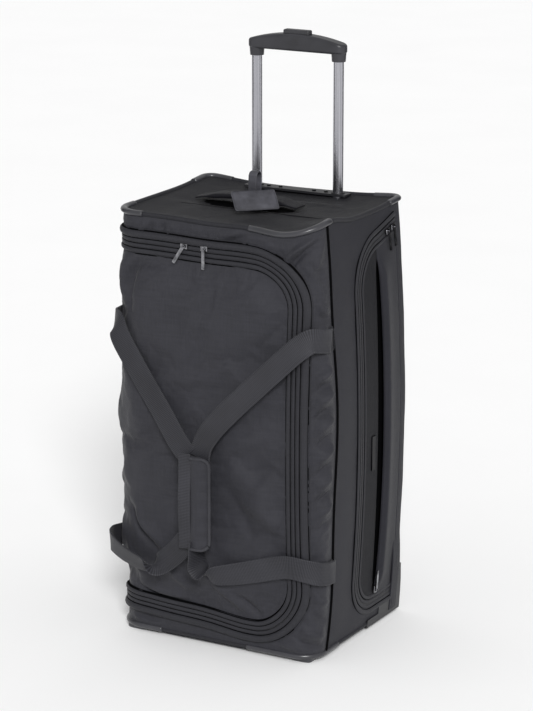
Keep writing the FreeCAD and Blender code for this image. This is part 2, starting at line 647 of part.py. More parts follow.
def make_sliders():
    """Two sliders on the front zip, two on the door's zip and one at the pocket slit."""
    down = FreeCAD.Vector(0, 0, -1)
    forward = FreeCAD.Vector(0, -1, 0)
    height = size("flap_top + 2")
    front = front_surface(height) - size("zip_proud")
    leaning = FreeCAD.Vector(-0.55, 0, -0.835).normalize()
    for name, hang in (("left", leaning), ("right", down)):
        x = size("front_slider_" + name)
        slider_and_pull("front_slider_" + name, "front_pull_" + name,
                        FreeCAD.Vector(x, front, height), X_AXIS, forward, hang)
    slope = size("(door_top_back - door_top_front) / (door_back - door_front)")
    along = FreeCAD.Vector(0, 1, slope).normalize()
    for name in ("front", "rear"):
        y = size("door_slider_" + name)
        z = size("door_top_front") + slope * (y - size("door_front")) - size("slider_drop")
        x = side_surface(z - size("slider_width") / 2) + size("tape_proud")
        slider_and_pull("door_slider_" + name, "door_pull_" + name,
                        FreeCAD.Vector(x, y, z), along, X_AXIS,
                        FreeCAD.Vector(0, 0.22, -0.975).normalize())
    low = size("slit_middle - slit_half_height + pocket_slider_rise")
    high = low + size("pocket_run")
    tangent = FreeCAD.Vector(side_surface(high) - side_surface(low), 0, high - low).normalize()
    outward = Y_AXIS.cross(tangent)
    slider_and_pull("pocket_slider", "pocket_pull",
                    FreeCAD.Vector(side_surface(low) + 0.2, size("slit_place"), low),
                    tangent, outward, tangent)


# ---- straps, grab handle, tag ----

def ribbon(stations):
    """A flat strap through stations, each a centre and the direction across the strap."""
    half_width = size("webbing_width") / 2
    half_thick = size("webbing_thick") / 2
    wires = []
    last = len(stations) - 1
    for index, (centre, across) in enumerate(stations):
        before = stations[max(index - 1, 0)][0]
        after = stations[min(index + 1, last)][0]
        side = across.normalize() * half_width
        lift = (after - before).cross(across).normalize() * half_thick
        corners = [centre + side + lift, centre - side + lift, centre - side - lift,
                   centre + side - lift]
        wires.append(Part.makePolygon(corners + corners[:1]))
    return Part.makeLoft(wires, True, True)


def strap_arm(sign, height, bend, far, tip):
    """One arm of a carrying strap, from its patch round the front edge to the wrap."""
    start = size("back_plane - body_depth + seam_setback - patch_length - 2")
    side = size("body_width / 2 + side_bow + webbing_thick / 2 + strap_lift")
    front = size("back_plane - body_depth - front_bow - webbing_thick / 2")
    corner = size("strap_corner")
    up = FreeCAD.Vector(0, 0, 1)
    lean = FreeCAD.Vector(sign * (tip.z - height), 0, abs(sign * far - tip.x)).normalize()
    stations = [
        (FreeCAD.Vector(sign * (side - 1), start, height), up),
        (FreeCAD.Vector(sign * (side + 1), front + corner, bend), up),
        (FreeCAD.Vector(sign * (side - corner), front - size("strap_corner_gap"), bend), up),
        (FreeCAD.Vector(sign * far, front - size("strap_front_gap"), bend),
         (up + lean).normalize()),
        (tip, lean),
    ]
    return ribbon(stations)


def make_straps():
    """Sewn patches on the gussets, the four strap arms, and the padded wrap round them."""
    layer = cut(envelope("patch_proud"), outer)
    patches = []
    for _, sign in SIDES:
        for height in ("strap_high", "strap_low"):
            x = "body_width / 4" if sign > 0 else "-body_width"
            patches.append(block(x, SEAM + " - patch_length - 2", height + " - webbing_width / 2",
                                 "body_width * 3 / 4", "patch_length", "webbing_width"))
    node("strap_anchors", common(layer, fuse(*patches)))
    middle = size("wrap_front + wrap_depth / 2")
    x = size("wrap_place")
    fan = size("strap_fan")
    ends = {"upper_strap": ("strap_high", size("wrap_bottom + wrap_height + strap_tip_high")),
            "lower_strap": ("strap_low", size("wrap_bottom - strap_tip_low"))}
    for name, (height, end) in ends.items():
        bend = size(height) + (end - size(height)) * size("strap_rise_share")
        arms = [strap_arm(sign, size(height), bend, size("strap_far"),
                          FreeCAD.Vector(x + sign * fan, middle, end))
                for _, sign in SIDES]
        node(name, feature(Part.makeCompound(arms)))
    sleeve = block("wrap_place - wrap_width / 2", "wrap_front", "wrap_bottom", "wrap_width",
                   "wrap_depth", "wrap_height")
    node("carry_wrap", rounded(sleeve, "wrap_depth * 0.4", runs_along(Z_AXIS)))


def make_top():
    """The arched grab handle, and the luggage tag on its loop."""
    arc = "((grab_span / 2) ^ 2 + grab_rise ^ 2) / (2 * grab_rise)"
    centre = "body_height + grab_rise - " + arc
    big = rod("y", "grab_centre", "grab_front", centre, arc + " + grab_thick", "grab_width")
    small = rod("y", "grab_centre", "grab_front", centre, arc, "grab_width")
    above = block("-body_width", "0", "body_height", "2 * body_width", "body_depth",
                  "body_height")
    loop_slot = block("loop_place - loop_width / 2 - 0.5",
                      "loop_front + loop_depth - loop_thick - 0.5", "body_height",
                      "loop_width + 1", "loop_thick + 1", "body_height")
    node("grab_handle", cut(common(cut(big, small), above), loop_slot))
    ring = block("loop_place - loop_width / 2", "loop_front", "body_height + 1", "loop_width",
                 "loop_depth", "loop_height")
    hole = block("loop_place - loop_width", "loop_front + loop_thick",
                 "body_height + 1 + loop_thick", "2 * loop_width",
                 "loop_depth - 2 * loop_thick", "loop_height - 2 * loop_thick")

    def at_top(edge):
        return runs_along(X_AXIS)(edge) and edge.BoundBox.ZMin > size("body_height + 10")
    node("tag_loop", cut(rounded(ring, "loop_depth * 0.44", at_top),
                         rounded(hole, "loop_depth * 0.44 - loop_thick", at_top)))
    card = block("-tag_width / 2", "-tag_height", "-tag_thick / 2", "tag_width", "tag_height",
                 "tag_thick")
    tag = rounded(card, "tag_round", runs_along(Z_AXIS))
    slope = FreeCAD.Rotation(X_AXIS, size("tag_slope"))
    turn = FreeCAD.Rotation(Z_AXIS, size("tag_turn"))
    hinge = FreeCAD.Vector(size("loop_place + tag_side"), size("loop_front - tag_ahead"),
                           size("body_height + tag_rise"))
    slot = block("-loop_width / 2 - 1", "-tag_slot_place", "-tag_thick", "loop_width + 2",
                 "tag_slot_height", "2 * tag_thick")
    holder = cut(tag, slot)
    holder.Placement = FreeCAD.Placement(hinge, turn.multiply(slope))
    node("luggage_tag", holder)


def check_and_write():
    """Recompute, stop on anything broken, and write one STEP file per sub-part."""
    doc.recompute()
    for thing in doc.Objects:
        if "Invalid" in thing.State or "Error" in thing.State:
            raise RuntimeError("%s (%s) failed: %s" % (thing.Name, thing.Label, thing.State))
    os.makedirs("parts", exist_ok=True)
    for thing in nodes:
        shape = thing.Shape
        if shape.isNull() or not shape.isValid() or not shape.Solids:
            raise RuntimeError("%s has no valid solid" % thing.Label)
        shape.exportStep("parts/%s.step" % thing.Label)
        print("%-22s %2d solids %9.0f mm3" % (thing.Label, len(shape.Solids), shape.Volume))
    print(len(nodes), "nodes")


make_boards()
make_soft_front()
make_edges()
for side_name, side_sign in SIDES:
    make_housing("wheel_housing_" + side_name, side_sign)
    make_wheel(side_name, side_sign)
make_axles()
make_screws()
make_tube_fixtures()
make_inner_tubes()
make_grip()
make_release()
make_door()
make_sliders()
make_straps()
make_top()
check_and_write()
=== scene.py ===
import json
import math

import bpy
import numpy as np
from mathutils import Matrix, Vector, noise


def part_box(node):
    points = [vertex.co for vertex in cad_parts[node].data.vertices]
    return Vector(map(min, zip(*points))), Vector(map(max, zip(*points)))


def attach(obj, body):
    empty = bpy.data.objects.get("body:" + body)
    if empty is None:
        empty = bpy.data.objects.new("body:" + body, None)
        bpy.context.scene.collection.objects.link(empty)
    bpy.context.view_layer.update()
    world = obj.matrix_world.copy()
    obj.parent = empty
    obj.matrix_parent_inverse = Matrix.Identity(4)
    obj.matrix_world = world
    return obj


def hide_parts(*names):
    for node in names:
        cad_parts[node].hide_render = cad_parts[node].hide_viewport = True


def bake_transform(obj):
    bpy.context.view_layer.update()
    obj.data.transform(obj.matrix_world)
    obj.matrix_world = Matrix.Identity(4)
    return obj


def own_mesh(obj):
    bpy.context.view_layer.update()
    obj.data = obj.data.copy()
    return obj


# The looks of a rolling duffel bag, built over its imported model. Sizes here are in millimetres, in the
# model's frame: +Z up, -Y is the front with the flap, +X is the side with the door.

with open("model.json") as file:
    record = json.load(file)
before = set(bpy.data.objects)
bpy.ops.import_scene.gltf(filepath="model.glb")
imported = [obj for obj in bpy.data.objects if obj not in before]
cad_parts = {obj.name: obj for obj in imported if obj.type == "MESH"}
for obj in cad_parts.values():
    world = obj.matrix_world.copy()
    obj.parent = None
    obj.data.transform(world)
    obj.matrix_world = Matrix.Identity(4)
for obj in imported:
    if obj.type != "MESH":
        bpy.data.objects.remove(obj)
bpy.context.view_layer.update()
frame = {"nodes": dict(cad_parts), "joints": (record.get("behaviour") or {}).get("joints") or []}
MM = 0.001
QUARTER = math.pi / 2
CAMERA_TURN = math.radians(29.2)


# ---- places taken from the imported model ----

def low(node):
    """Lowest corner of a CAD node, in millimetres."""
    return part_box(node)[0] / MM


def high(node):
    """Highest corner of a CAD node, in millimetres."""
    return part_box(node)[1] / MM


def joint_point(name):
    """Where a hinge is, in millimetres."""
    return next(Vector(j["pos_m"]) / MM for j in frame["joints"] if j["name"] == name)


TOP = high("top_panel").z
BASE = low("bottom_board").z
BACK = high("back_board").y
FRONT = low("top_panel").y
HALF = high("top_panel").x
SIDE_BOW = high("back_board").x - HALF
FRONT_BOW = FRONT - low("front_surround").y
SEAM = high("right_gusset").y
FLAP_RIGHT = high("front_flap").x - 3
FLAP_TOP = high("front_flap").z
FLAP_LOW = low("front_flap").z
DOOR_FRONT = low("door_panel").y
DOOR_BACK = high("door_panel").y
DOOR_LOW = low("door_panel").z
DOOR_HIGH = high("door_panel").z
TUBE_X = (low("inner_tube_right").x + high("inner_tube_right").x) / 2
TUBE_Y = (low("inner_tube_right").y + high("inner_tube_right").y) / 2
WRAP_LOW = low("carry_wrap")
WRAP_HIGH = high("carry_wrap")

RIGHT_RADIUS = 37      # the round of the front right corner
LEFT_RADIUS = 42       # the same on the left, where the slack fabric rounds off further
LEFT_SLACK = 44
LEFT_BOW = 7
BACK_RADIUS = 18
FLAP_ROUND = 80
SEAM_FORWARD = 32       # the soft front stops short of the stiff side by this much


# ---- the bag's surface ----

def smoothstep(value, start, end):
    """0 before start, 1 after end, and a smooth rise between them."""
    t = np.clip((np.asarray(value, float) - start) / (end - start), 0, 1)
    return t * t * (3 - 2 * t)


def bow(z):
    """How far the shell bulges at a height, from 0 at top and base to 1 in the middle."""
    t = (np.asarray(z, float) - TOP / 2) / (TOP / 2)
    return np.clip(1 - t * t, 0, 1)


def hill(x, y, centre_x, centre_y, reach_x, reach_y):
    """A round hill of height 1."""
    return np.exp(-((x - centre_x) / reach_x) ** 2 - ((y - centre_y) / reach_y) ** 2)


def lift(x, y):
    """How far the slack top rises or sags above the level top of the frame."""
    rise = 12 * hill(x, y, HALF, -75, 45, 50)
    rise = rise + 5 * hill(x, y, HALF, BACK, 60, 60)
    rise = rise + 6 * hill(x, y, -HALF, BACK, 60, 60)
    rise = rise - 2 * hill(x, y, -30, BACK + 10, 90, 34)
    rise = rise - 3 * hill(x, y, 0, FRONT, 60, 50)
    return rise - 8 * hill(x, y, 125, FRONT, 48, 40)


def sagged(points):
    """Moves points near the top with the slack top edge."""
    points = np.asarray(points, float).copy()
    share = smoothstep(points[..., 2], 540, TOP)
    points[..., 2] += lift(points[..., 0], points[..., 1]) * share
    return points


def wrap(u, z, out=0.0):
    """Points on the front. u runs round the bag from the middle of the front, positive to the right."""
    u, z, out = np.broadcast_arrays(np.asarray(u, float), np.asarray(z, float), np.asarray(out, float))
    right = u > 0
    full = bow(z)
    radius = np.where(right, RIGHT_RADIUS, LEFT_RADIUS + LEFT_SLACK * full)
    half = HALF + np.where(right, SIDE_BOW, LEFT_BOW) * full
    run = np.clip(np.abs(u) - (half - radius), 0, None)
    angle = np.clip(run / radius, 0, QUARTER)
    past = np.clip(run - radius * QUARTER, 0, None)
    x = np.minimum(np.abs(u), half - radius) + (radius + out) * np.sin(angle)
    y = FRONT - FRONT_BOW * full + radius - (radius + out) * np.cos(angle) + past
    return sagged(np.stack([np.where(right, x, -x), y, z], -1))


def side(y, z, out=0.0, sign=1):
    """Points on the right (sign 1) or left (sign -1) side of the bag."""
    y, z, out = np.broadcast_arrays(np.asarray(y, float), np.asarray(z, float), np.asarray(out, float))
    amount = SIDE_BOW if sign > 0 else LEFT_BOW + (SIDE_BOW - LEFT_BOW) * smoothstep(y, SEAM - 30, 40)
    x = sign * (HALF + amount * bow(z) + out)
    return sagged(np.stack([x, y, z], -1))


def seam_y(z):
    """How deep the side seams lie at a height: they wander a little with the slack fabric."""
    z = np.asarray(z, float)
    return SEAM - SEAM_FORWARD + 4 * np.sin(z / 52) - 5 * smoothstep(z, 600, 700)


def seam_u(z, sign=1):
    """Where a side seam runs, as u on the front surface."""
    z = np.asarray(z, float)
    full = bow(z)
    radius = RIGHT_RADIUS if sign > 0 else LEFT_RADIUS + LEFT_SLACK * full
    half = HALF + (SIDE_BOW if sign > 0 else LEFT_BOW) * full
    front = FRONT - FRONT_BOW * full
    reach = np.maximum(seam_y(z) - front - radius, -radius * 0.2)
    return half - radius + radius * QUARTER + reach


# ---- mesh helpers ----

def mesh_piece(name, points, faces):
    """A smooth-shaded mesh object from points in millimetres."""
    mesh = bpy.data.meshes.new(name)
    scaled = (np.asarray(points, float).reshape(-1, 3) * MM).tolist()
    mesh.from_pydata(scaled, [], faces)
    mesh.polygons.foreach_set("use_smooth", [True] * len(mesh.polygons))
    piece = bpy.data.objects.new(name, mesh)
    bpy.context.scene.collection.objects.link(piece)
    return piece


def grid_faces(rows, columns, looped=False):
    """Quads of a grid whose points are stored row by row, with each row closed if it is looped."""
    faces = []
    for r in range(rows - 1):
        for c in range(columns if looped else columns - 1):
            c2 = (c + 1) % columns
            faces.append((r * columns + c, r * columns + c2, (r + 1) * columns + c2, (r + 1) * columns + c))
    return faces


def capped_faces(rows, columns):
    """Faces of a sleeve of looped rows, with both ends closed."""
    faces = grid_faces(rows, columns, True)
    faces.append(tuple(range(columns - 1, -1, -1)))
    faces.append(tuple((rows - 1) * columns + c for c in range(columns)))
    return faces


def shown_faces(faces, shown):
    """The faces whose corners are all shown."""
    flat = shown.reshape(-1)
    return [f for f in faces if all(flat[i] for i in f)]


def give_uv(piece, rows, columns, u_of, v_of):
    """Texture coordinates in millimetres for a grid: u along its rows, v along its columns."""
    layer = piece.data.uv_layers.new(name="UVMap")
    for loop in piece.data.loops:
        r, c = divmod(loop.vertex_index, columns)
        layer.data[loop.index].uv = (u_of[min(r, rows - 1)], v_of[c])


def grid_piece(name, points):
    """An open sheet from an array of points, rows by columns."""
    points = np.asarray(points, float)
    rows, columns = points.shape[:2]
    return mesh_piece(name, points, grid_faces(rows, columns))


def lengths(points):
    """Distance along a line of points."""
    steps = np.linalg.norm(np.diff(points, axis=0), axis=1)
    return np.concatenate([[0], np.cumsum(steps)])


def at_lengths(line, places):
    """Points at distances along a line."""
    run = lengths(line)
    return np.stack([np.interp(places, run, line[:, k]) for k in range(line.shape[1])], -1)


def evenly(line, count, endpoint=True):
    """A line again, with its points evenly apart."""
    return at_lengths(line, np.linspace(0, lengths(line)[-1], count, endpoint=endpoint))


def unit(vectors):
    """Vectors at length 1."""
    vectors = np.asarray(vectors, float)
    return vectors / np.maximum(np.linalg.norm(vectors, axis=-1, keepdims=True), 1e-9)


def spread(controls, count):
    """A smooth Catmull-Rom line through control points, with evenly shared samples."""
    controls = np.asarray(controls, float)
    padded = np.vstack([2 * controls[0] - controls[1], controls, 2 * controls[-1] - controls[-2]])
    samples = []
    for place in np.linspace(0, len(controls) - 1, count):
        i = min(int(place), len(controls) - 2)
        t = place - i
        a, b, c, d = padded[i:i + 4]
        samples.append(0.5 * (2 * b + (c - a) * t + (2 * a - 5 * b + 4 * c - d) * t ** 2
                              + (3 * b - a - 3 * c + d) * t ** 3))
    return np.array(samples)


def sweep(name, centres, across, outward, profile):
    """A closed profile of (across, outward) offsets carried along a path, with capped ends."""
    profile = np.asarray(profile, float)
    points = (centres[:, None] + profile[None, :, :1] * across[:, None]
              + profile[None, :, 1:] * outward[:, None])
    rows, columns = points.shape[:2]
    piece = mesh_piece(name, points, capped_faces(rows, columns))
    give_uv(piece, rows, columns, lengths(centres), lengths(profile))
    return piece


def circle(radius, squash):
    """A closed round profile, lower than it is wide when squash is under 1."""
    turns = np.arange(12) * 2 * math.pi / 12
    return np.stack([radius * np.cos(turns), radius * squash * np.sin(turns)], -1)


def rounded_bar(width, thick, edge=1.6):
    """A closed profile: a flat band with round edges."""
    half, flat = width / 2, thick / 2
    upper = [(-half, 0), (-half + edge * 0.3, flat * 0.75), (-half + edge, flat), (-half * 0.5, flat),
             (0, flat), (half * 0.5, flat), (half - edge, flat), (half - edge * 0.3, flat * 0.75), (half, 0)]
    lower = [(x, -y) for x, y in reversed(upper[1:-1])]
    return upper + lower


def tube(name, centres, radius, squash=1.0):
    """A round cord along a path."""
    ahead = np.roll(centres, -1, 0) - np.roll(centres, 1, 0)
    ahead[0] = centres[1] - centres[0]
    ahead[-1] = centres[-1] - centres[-2]
    ahead = unit(ahead)
    helper = np.where(np.abs(ahead[:, 2:]) > 0.9, [[1.0, 0, 0]], [[0, 0, 1.0]])
    across = unit(np.cross(ahead, helper))
    outward = np.cross(across, ahead)
    return sweep(name, centres, across, outward, circle(radius, squash))


def dress(piece, body, material, replaces=()):
    """Puts a piece on its body, with its finish and the CAD nodes it stands for."""
    piece.data.materials.append(material)
    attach(piece, body)
    if replaces:
        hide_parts(*replaces)


def merge(name, pieces):
    """Joins pieces into one mesh."""
    points, faces, base = [], [], 0
    for piece in pieces:
        points += [v.co / MM for v in piece.data.vertices]
        faces += [tuple(base + i for i in p.vertices) for p in piece.data.polygons]
        base += len(piece.data.vertices)
        bpy.data.objects.remove(piece)
    return mesh_piece(name, [tuple(p) for p in points], faces)


def thicken(piece, thick, inwards=True):
    """Gives a sheet a real thickness."""
    solid = piece.modifiers.new("thickness", "SOLIDIFY")
    solid.thickness = thick * MM
    solid.offset = -1 if inwards else 1


def smoothed(piece):
    """Adds one level of subdivision."""
    soft = piece.modifiers.new("smooth", "SUBSURF")
    soft.levels = 1
    soft.render_levels = 1


def fractal(points, size, seed):
    """Smooth random heights at points, the same in every run."""
    shift = Vector((seed * 17.3, seed * 5.1, seed * 9.7))
    return np.array([noise.fractal(Vector(p) / size + shift, 1.0, 2.0, 3) for p in points])


# ---- materials ----

def linear(shade):
    """A display shade 0..255 as a linear number."""
    value = shade / 255
    return value / 12.92 if value <= 0.04045 else ((value + 0.055) / 1.055) ** 2.4


def colour(red, green, blue):
    """A display colour as linear numbers with alpha."""
    return (linear(red), linear(green), linear(blue), 1.0)


class Nodes:
    """Small helper that adds and links shader nodes."""

    def __init__(self, name, **constants):
        self.material = bpy.data.materials.new(name)
        self.material.use_nodes = True
        self.tree = self.material.node_tree
        self.shader = self.tree.nodes["Principled BSDF"]
        for socket, value in constants.items():
            self.shader.inputs[socket.replace("_", " ")].default_value = value

    def add(self, kind, **values):
        made = self.tree.nodes.new(kind)
        for key, value in values.items():
            setattr(made, key, value)
        return made

    def link(self, source, target):
        self.tree.links.new(source, target)

    def noise(self, vector, scale, detail=4.0):
        made = self.add("ShaderNodeTexNoise")
        made.inputs["Scale"].default_value = scale
        made.inputs["Detail"].default_value = detail
        self.link(vector, made.inputs["Vector"])
        return made.outputs["Fac"]

    def streaks(self, vector, stretch):
        made = self.add("ShaderNodeMapping")
        made.inputs["Scale"].default_value = stretch
        self.link(vector, made.inputs["Vector"])
        return self.noise(made.outputs[0], 1.0, 2.0)

    def wave(self, vector, period, direction="X", profile="SIN"):
        made = self.add("ShaderNodeTexWave", bands_direction=direction, wave_profile=profile)
        made.inputs["Scale"].default_value = 2 * math.pi / 20 / period
        self.link(vector, made.inputs["Vector"])
        return made.outputs["Fac"]

    def math(self, operation, first, second):
        made = self.add("ShaderNodeMath", operation=operation)
        for socket, value in zip(made.inputs, (first, second)):
            if isinstance(value, (int, float)):
                socket.default_value = value
            else:
                self.link(value, socket)
        return made.outputs[0]

    def ramp(self, factor, start, end, low_colour, high_colour):
        made = self.add("ShaderNodeValToRGB")
        made.color_ramp.elements[0].position = start
        made.color_ramp.elements[1].position = end
        made.color_ramp.elements[0].color = low_colour
        made.color_ramp.elements[1].color = high_colour
        self.link(factor, made.inputs["Fac"])
        return made.outputs["Color"]

    def rough(self, factor, start, end):
        made = self.add("ShaderNodeMapRange")
        made.inputs["To Min"].default_value = start
        made.inputs["To Max"].default_value = end
        self.link(factor, made.inputs["Value"])
        self.link(made.outputs[0], self.shader.inputs["Roughness"])

    def bump(self, height, distance, strength=1.0):
        made = self.add("ShaderNodeBump")
        made.inputs["Distance"].default_value = distance
        made.inputs["Strength"].default_value = strength
        self.link(height, made.inputs["Height"])
        self.link(made.outputs["Normal"], self.shader.inputs["Normal"])


def object_vector(nodes):
    """Coordinates with x + y, x - y and z, so that weave bands run well on every side."""
    coordinates = nodes.add("ShaderNodeTexCoord").outputs["Object"]
    split = nodes.add("ShaderNodeSeparateXYZ")
    nodes.link(coordinates, split.inputs[0])
    joined = nodes.add("ShaderNodeCombineXYZ")
    nodes.link(nodes.math("ADD", split.outputs["X"], split.outputs["Y"]), joined.inputs["X"])
    nodes.link(nodes.math("SUBTRACT", split.outputs["X"], split.outputs["Y"]), joined.inputs["Y"])
    nodes.link(split.outputs["Z"], joined.inputs["Z"])
    return coordinates, joined.outputs[0]


def woven(name, dark, light, period, rough=(0.5, 0.66), depth=0.00025, sheen=0.03, second="Z",
          gloss=0.24):
    """Woven nylon: fine crossing threads, soft blotches of tone and a little sheen."""
    nodes = Nodes(name, Sheen_Weight=sheen, Sheen_Roughness=0.4, Specular_IOR_Level=gloss)
    plain, turned = object_vector(nodes)
    warp = nodes.wave(turned, period)
    weft = nodes.wave(turned, period, second)
    threads = nodes.math("MULTIPLY", warp, weft)
    blotch = nodes.noise(plain, 9.0)
    upright = nodes.streaks(turned, (330, 330, 16))
    level = nodes.streaks(turned, (16, 16, 330))
    slubs = nodes.math("ADD", upright, level)
    mixed = nodes.math("ADD", nodes.math("MULTIPLY", threads, 0.3), nodes.math("MULTIPLY", blotch, 0.35))
    mixed = nodes.math("ADD", mixed, nodes.math("MULTIPLY", slubs, 0.36))
    nodes.link(nodes.ramp(mixed, 0.15, 0.85, dark, light), nodes.shader.inputs["Base Color"])
    nodes.rough(blotch, *rough)
    fine = nodes.noise(plain, 260.0, 2.0)
    height = nodes.math("ADD", threads, nodes.math("MULTIPLY", fine, 0.6))
    nodes.bump(height, depth)
    return nodes.material


def webbing_material(name, dark, light):
    """Strap webbing: close ribs across it and two faint lines along it."""
    nodes = Nodes(name, Sheen_Weight=0.08, Sheen_Roughness=0.35, Specular_IOR_Level=0.3)
    flat = nodes.add("ShaderNodeTexCoord").outputs["UV"]
    ribs = nodes.wave(flat, 2.5)
    lines = nodes.wave(flat, 5.2, "Y")
    plain = nodes.add("ShaderNodeTexCoord").outputs["Object"]
    blotch = nodes.noise(plain, 14.0)
    pattern = nodes.math("ADD", nodes.math("MULTIPLY", ribs, 0.5), nodes.math("MULTIPLY", lines, 0.06))
    mixed = nodes.math("ADD", pattern, nodes.math("MULTIPLY", blotch, 0.5))
    nodes.link(nodes.ramp(mixed, 0.2, 0.9, dark, light), nodes.shader.inputs["Base Color"])
    nodes.rough(blotch, 0.5, 0.7)
    nodes.bump(pattern, 0.0005)
    return nodes.material


def moulded(name, dark, light, rough, grain=900.0, depth=0.00008, coat=0.0):
    """Moulded plastic or rubber with a fine grain and slight wear in its gloss."""
    nodes = Nodes(name, Coat_Weight=coat, Coat_Roughness=0.2)
    plain = nodes.add("ShaderNodeTexCoord").outputs["Object"]
    blotch = nodes.noise(plain, 22.0)
    nodes.link(nodes.ramp(blotch, 0.3, 0.75, dark, light), nodes.shader.inputs["Base Color"])
    nodes.rough(blotch, *rough)
    nodes.bump(nodes.noise(plain, grain, 2.0), depth)
    return nodes.material


def metal(name, dark, light, rough, brushed=False):
    """Metal, with fine lines along it where it is brushed or drawn."""
    nodes = Nodes(name, Metallic=1.0)
    plain = nodes.add("ShaderNodeTexCoord").outputs["Object"]
    stretch = nodes.add("ShaderNodeMapping")
    stretch.inputs["Scale"].default_value = (900, 900, 6) if brushed else (120, 120, 120)
    nodes.link(plain, stretch.inputs["Vector"])
    lines = nodes.noise(stretch.outputs[0], 1.0, 3.0)
    nodes.link(nodes.ramp(lines, 0.3, 0.7, dark, light), nodes.shader.inputs["Base Color"])
    nodes.rough(lines, *rough)
    nodes.bump(lines, 0.00003)
    return nodes.material


def leather(name, dark, light):
    """Grained leather with a soft gloss."""
    nodes = Nodes(name, Specular_IOR_Level=0.45)
    plain = nodes.add("ShaderNodeTexCoord").outputs["Object"]
    cells = nodes.add("ShaderNodeTexVoronoi")
    cells.inputs["Scale"].default_value = 900.0
    nodes.link(plain, cells.inputs["Vector"])
    blotch = nodes.noise(plain, 60.0)
    nodes.link(nodes.ramp(blotch, 0.3, 0.7, dark, light), nodes.shader.inputs["Base Color"])
    nodes.rough(blotch, 0.45, 0.62)
    nodes.bump(cells.outputs["Distance"], 0.00015)
    return nodes.material


# The nylon finishes here are copies of one fabric whose base colours are set by face: lightest on the soft
# front and the wrap, darker on the sides, back, base and the door's rear leaf, darkest on the top, the grab
# handle and the door's front leaf. These steps are painted light and shade.
NYLON = woven("shell_nylon", colour(19, 19, 24), colour(36, 36, 43), 0.0011)
SOFT_NYLON = woven("soft_nylon", colour(26, 26, 30), colour(50, 50, 56), 0.0011, sheen=0.06)
TOP_NYLON_SHADED = woven("top_nylon_painted_shade", colour(12, 12, 16), colour(25, 25, 30), 0.0011, second="Y", gloss=0.12)
LEAF_NYLON_SHADED = woven("door_nylon_painted_shade", colour(12, 12, 15), colour(23, 23, 28), 0.0011, gloss=0.14)
TAPE = woven("zip_tape_weave", colour(26, 26, 30), colour(46, 46, 51), 0.0016, depth=0.0004)
# Near-black painted shadow, laid in the zip grooves, the hollow under the grab handle, the side seams and
# the pocket.
PAINTED_SHADOW = woven("groove_shadow", colour(4, 4, 5), colour(9, 9, 10), 0.0016, (0.85, 0.95), sheen=0.0,
               gloss=0.03)
COIL = moulded("coil_nylon", colour(18, 18, 20), colour(34, 34, 38), (0.35, 0.5))
LINING = woven("lining_weave", colour(12, 12, 14), colour(24, 24, 27), 0.0009, sheen=0.0)
WEBBING = webbing_material("strap_webbing", colour(18, 18, 21), colour(56, 56, 62))
PIPING = woven("piping_fabric", colour(20, 20, 23), colour(40, 40, 45), 0.0013)
GUARD = moulded("guard_plastic_gloss", colour(36, 36, 40), colour(56, 56, 61), (0.26, 0.38), coat=0.2)
GRIP = moulded("grip_soft_plastic", colour(30, 30, 34), colour(48, 48, 53), (0.34, 0.48))
BUTTON = moulded("button_plastic", colour(34, 34, 37), colour(50, 50, 54), (0.35, 0.45))
INNER_PLASTIC = moulded("inner_plastic", colour(26, 26, 28), colour(40, 40, 43), (0.45, 0.6))
TUBE_METAL = metal("drawn_aluminium", colour(150, 150, 156), colour(190, 190, 196), (0.2, 0.3), True)
STEEL = metal("bright_steel", colour(170, 170, 175), colour(215, 215, 218), (0.22, 0.32))
SLIDER_METAL = metal("dark_chrome", colour(64, 64, 68), colour(160, 160, 164), (0.08, 0.16))
PLATE_METAL = metal("dark_plate", colour(16, 16, 18), colour(34, 34, 37), (0.3, 0.42))
RUBBER = moulded("wheel_rubber", colour(22, 22, 23), colour(36, 36, 37), (0.6, 0.75))
WHEEL_PLASTIC = moulded("wheel_plastic", colour(20, 20, 23), colour(36, 36, 40), (0.4, 0.52))
LEATHER = leather("tag_leather", colour(44, 44, 49), colour(70, 70, 77))
THREAD = woven("thread", colour(34, 34, 38), colour(60, 60, 65), 0.0008)


# ---- the soft front ----

def flap_line(offset, count=400):
    """The zip's line round the flap as (u, z) rows, moved outwards by an offset, with its outward turn."""
    inset = FLAP_ROUND + offset
    right, top, bottom = FLAP_RIGHT + offset, FLAP_TOP + offset, FLAP_LOW - offset
    start = -float(seam_u(FLAP_TOP, -1)) + 6
    corner_u = FLAP_RIGHT - FLAP_ROUND
    rows = []
    for u in np.linspace(start, corner_u, count // 4, endpoint=False):
        rows.append((u, top, 0, 1))
    for turn in np.linspace(0, QUARTER, count // 8, endpoint=False):
        rows.append((corner_u + inset * math.sin(turn), FLAP_TOP - FLAP_ROUND + inset * math.cos(turn),
                     math.sin(turn), math.cos(turn)))
    for z in np.linspace(FLAP_TOP - FLAP_ROUND, FLAP_LOW + FLAP_ROUND, count // 4, endpoint=False):
        rows.append((right, z, 1, 0))
    for turn in np.linspace(QUARTER, 2 * QUARTER, count // 8, endpoint=False):
        rows.append((corner_u + inset * math.sin(turn), FLAP_LOW + FLAP_ROUND + inset * math.cos(turn),
                     math.sin(turn), math.cos(turn)))
    for u in np.linspace(corner_u, start, count // 4 + 1):
        rows.append((u, bottom, 0, -1))
    rows = np.array(rows)
    rows[:, 1] -= 9 * hill(rows[:, 0], rows[:, 1], 66, FLAP_LOW, 60, 40)
    rows[:, 1] += 5 * hill(rows[:, 0], rows[:, 1], -150, FLAP_LOW, 60, 40)
    return rows


def flap_depth(u, z):
    """How far inside the flap's outline a point is, negative outside."""
    u, z = np.asarray(u, float), np.asarray(z, float)
    middle = (FLAP_TOP + FLAP_LOW) / 2
    across = u - (FLAP_RIGHT - FLAP_ROUND)
    along = np.abs(z - middle) - ((FLAP_TOP - FLAP_LOW) / 2 - FLAP_ROUND)
    outside = np.hypot(np.clip(across, 0, None), np.clip(along, 0, None))
    return FLAP_ROUND - outside - np.clip(np.minimum(np.maximum(across, along), 0), -900, 0)


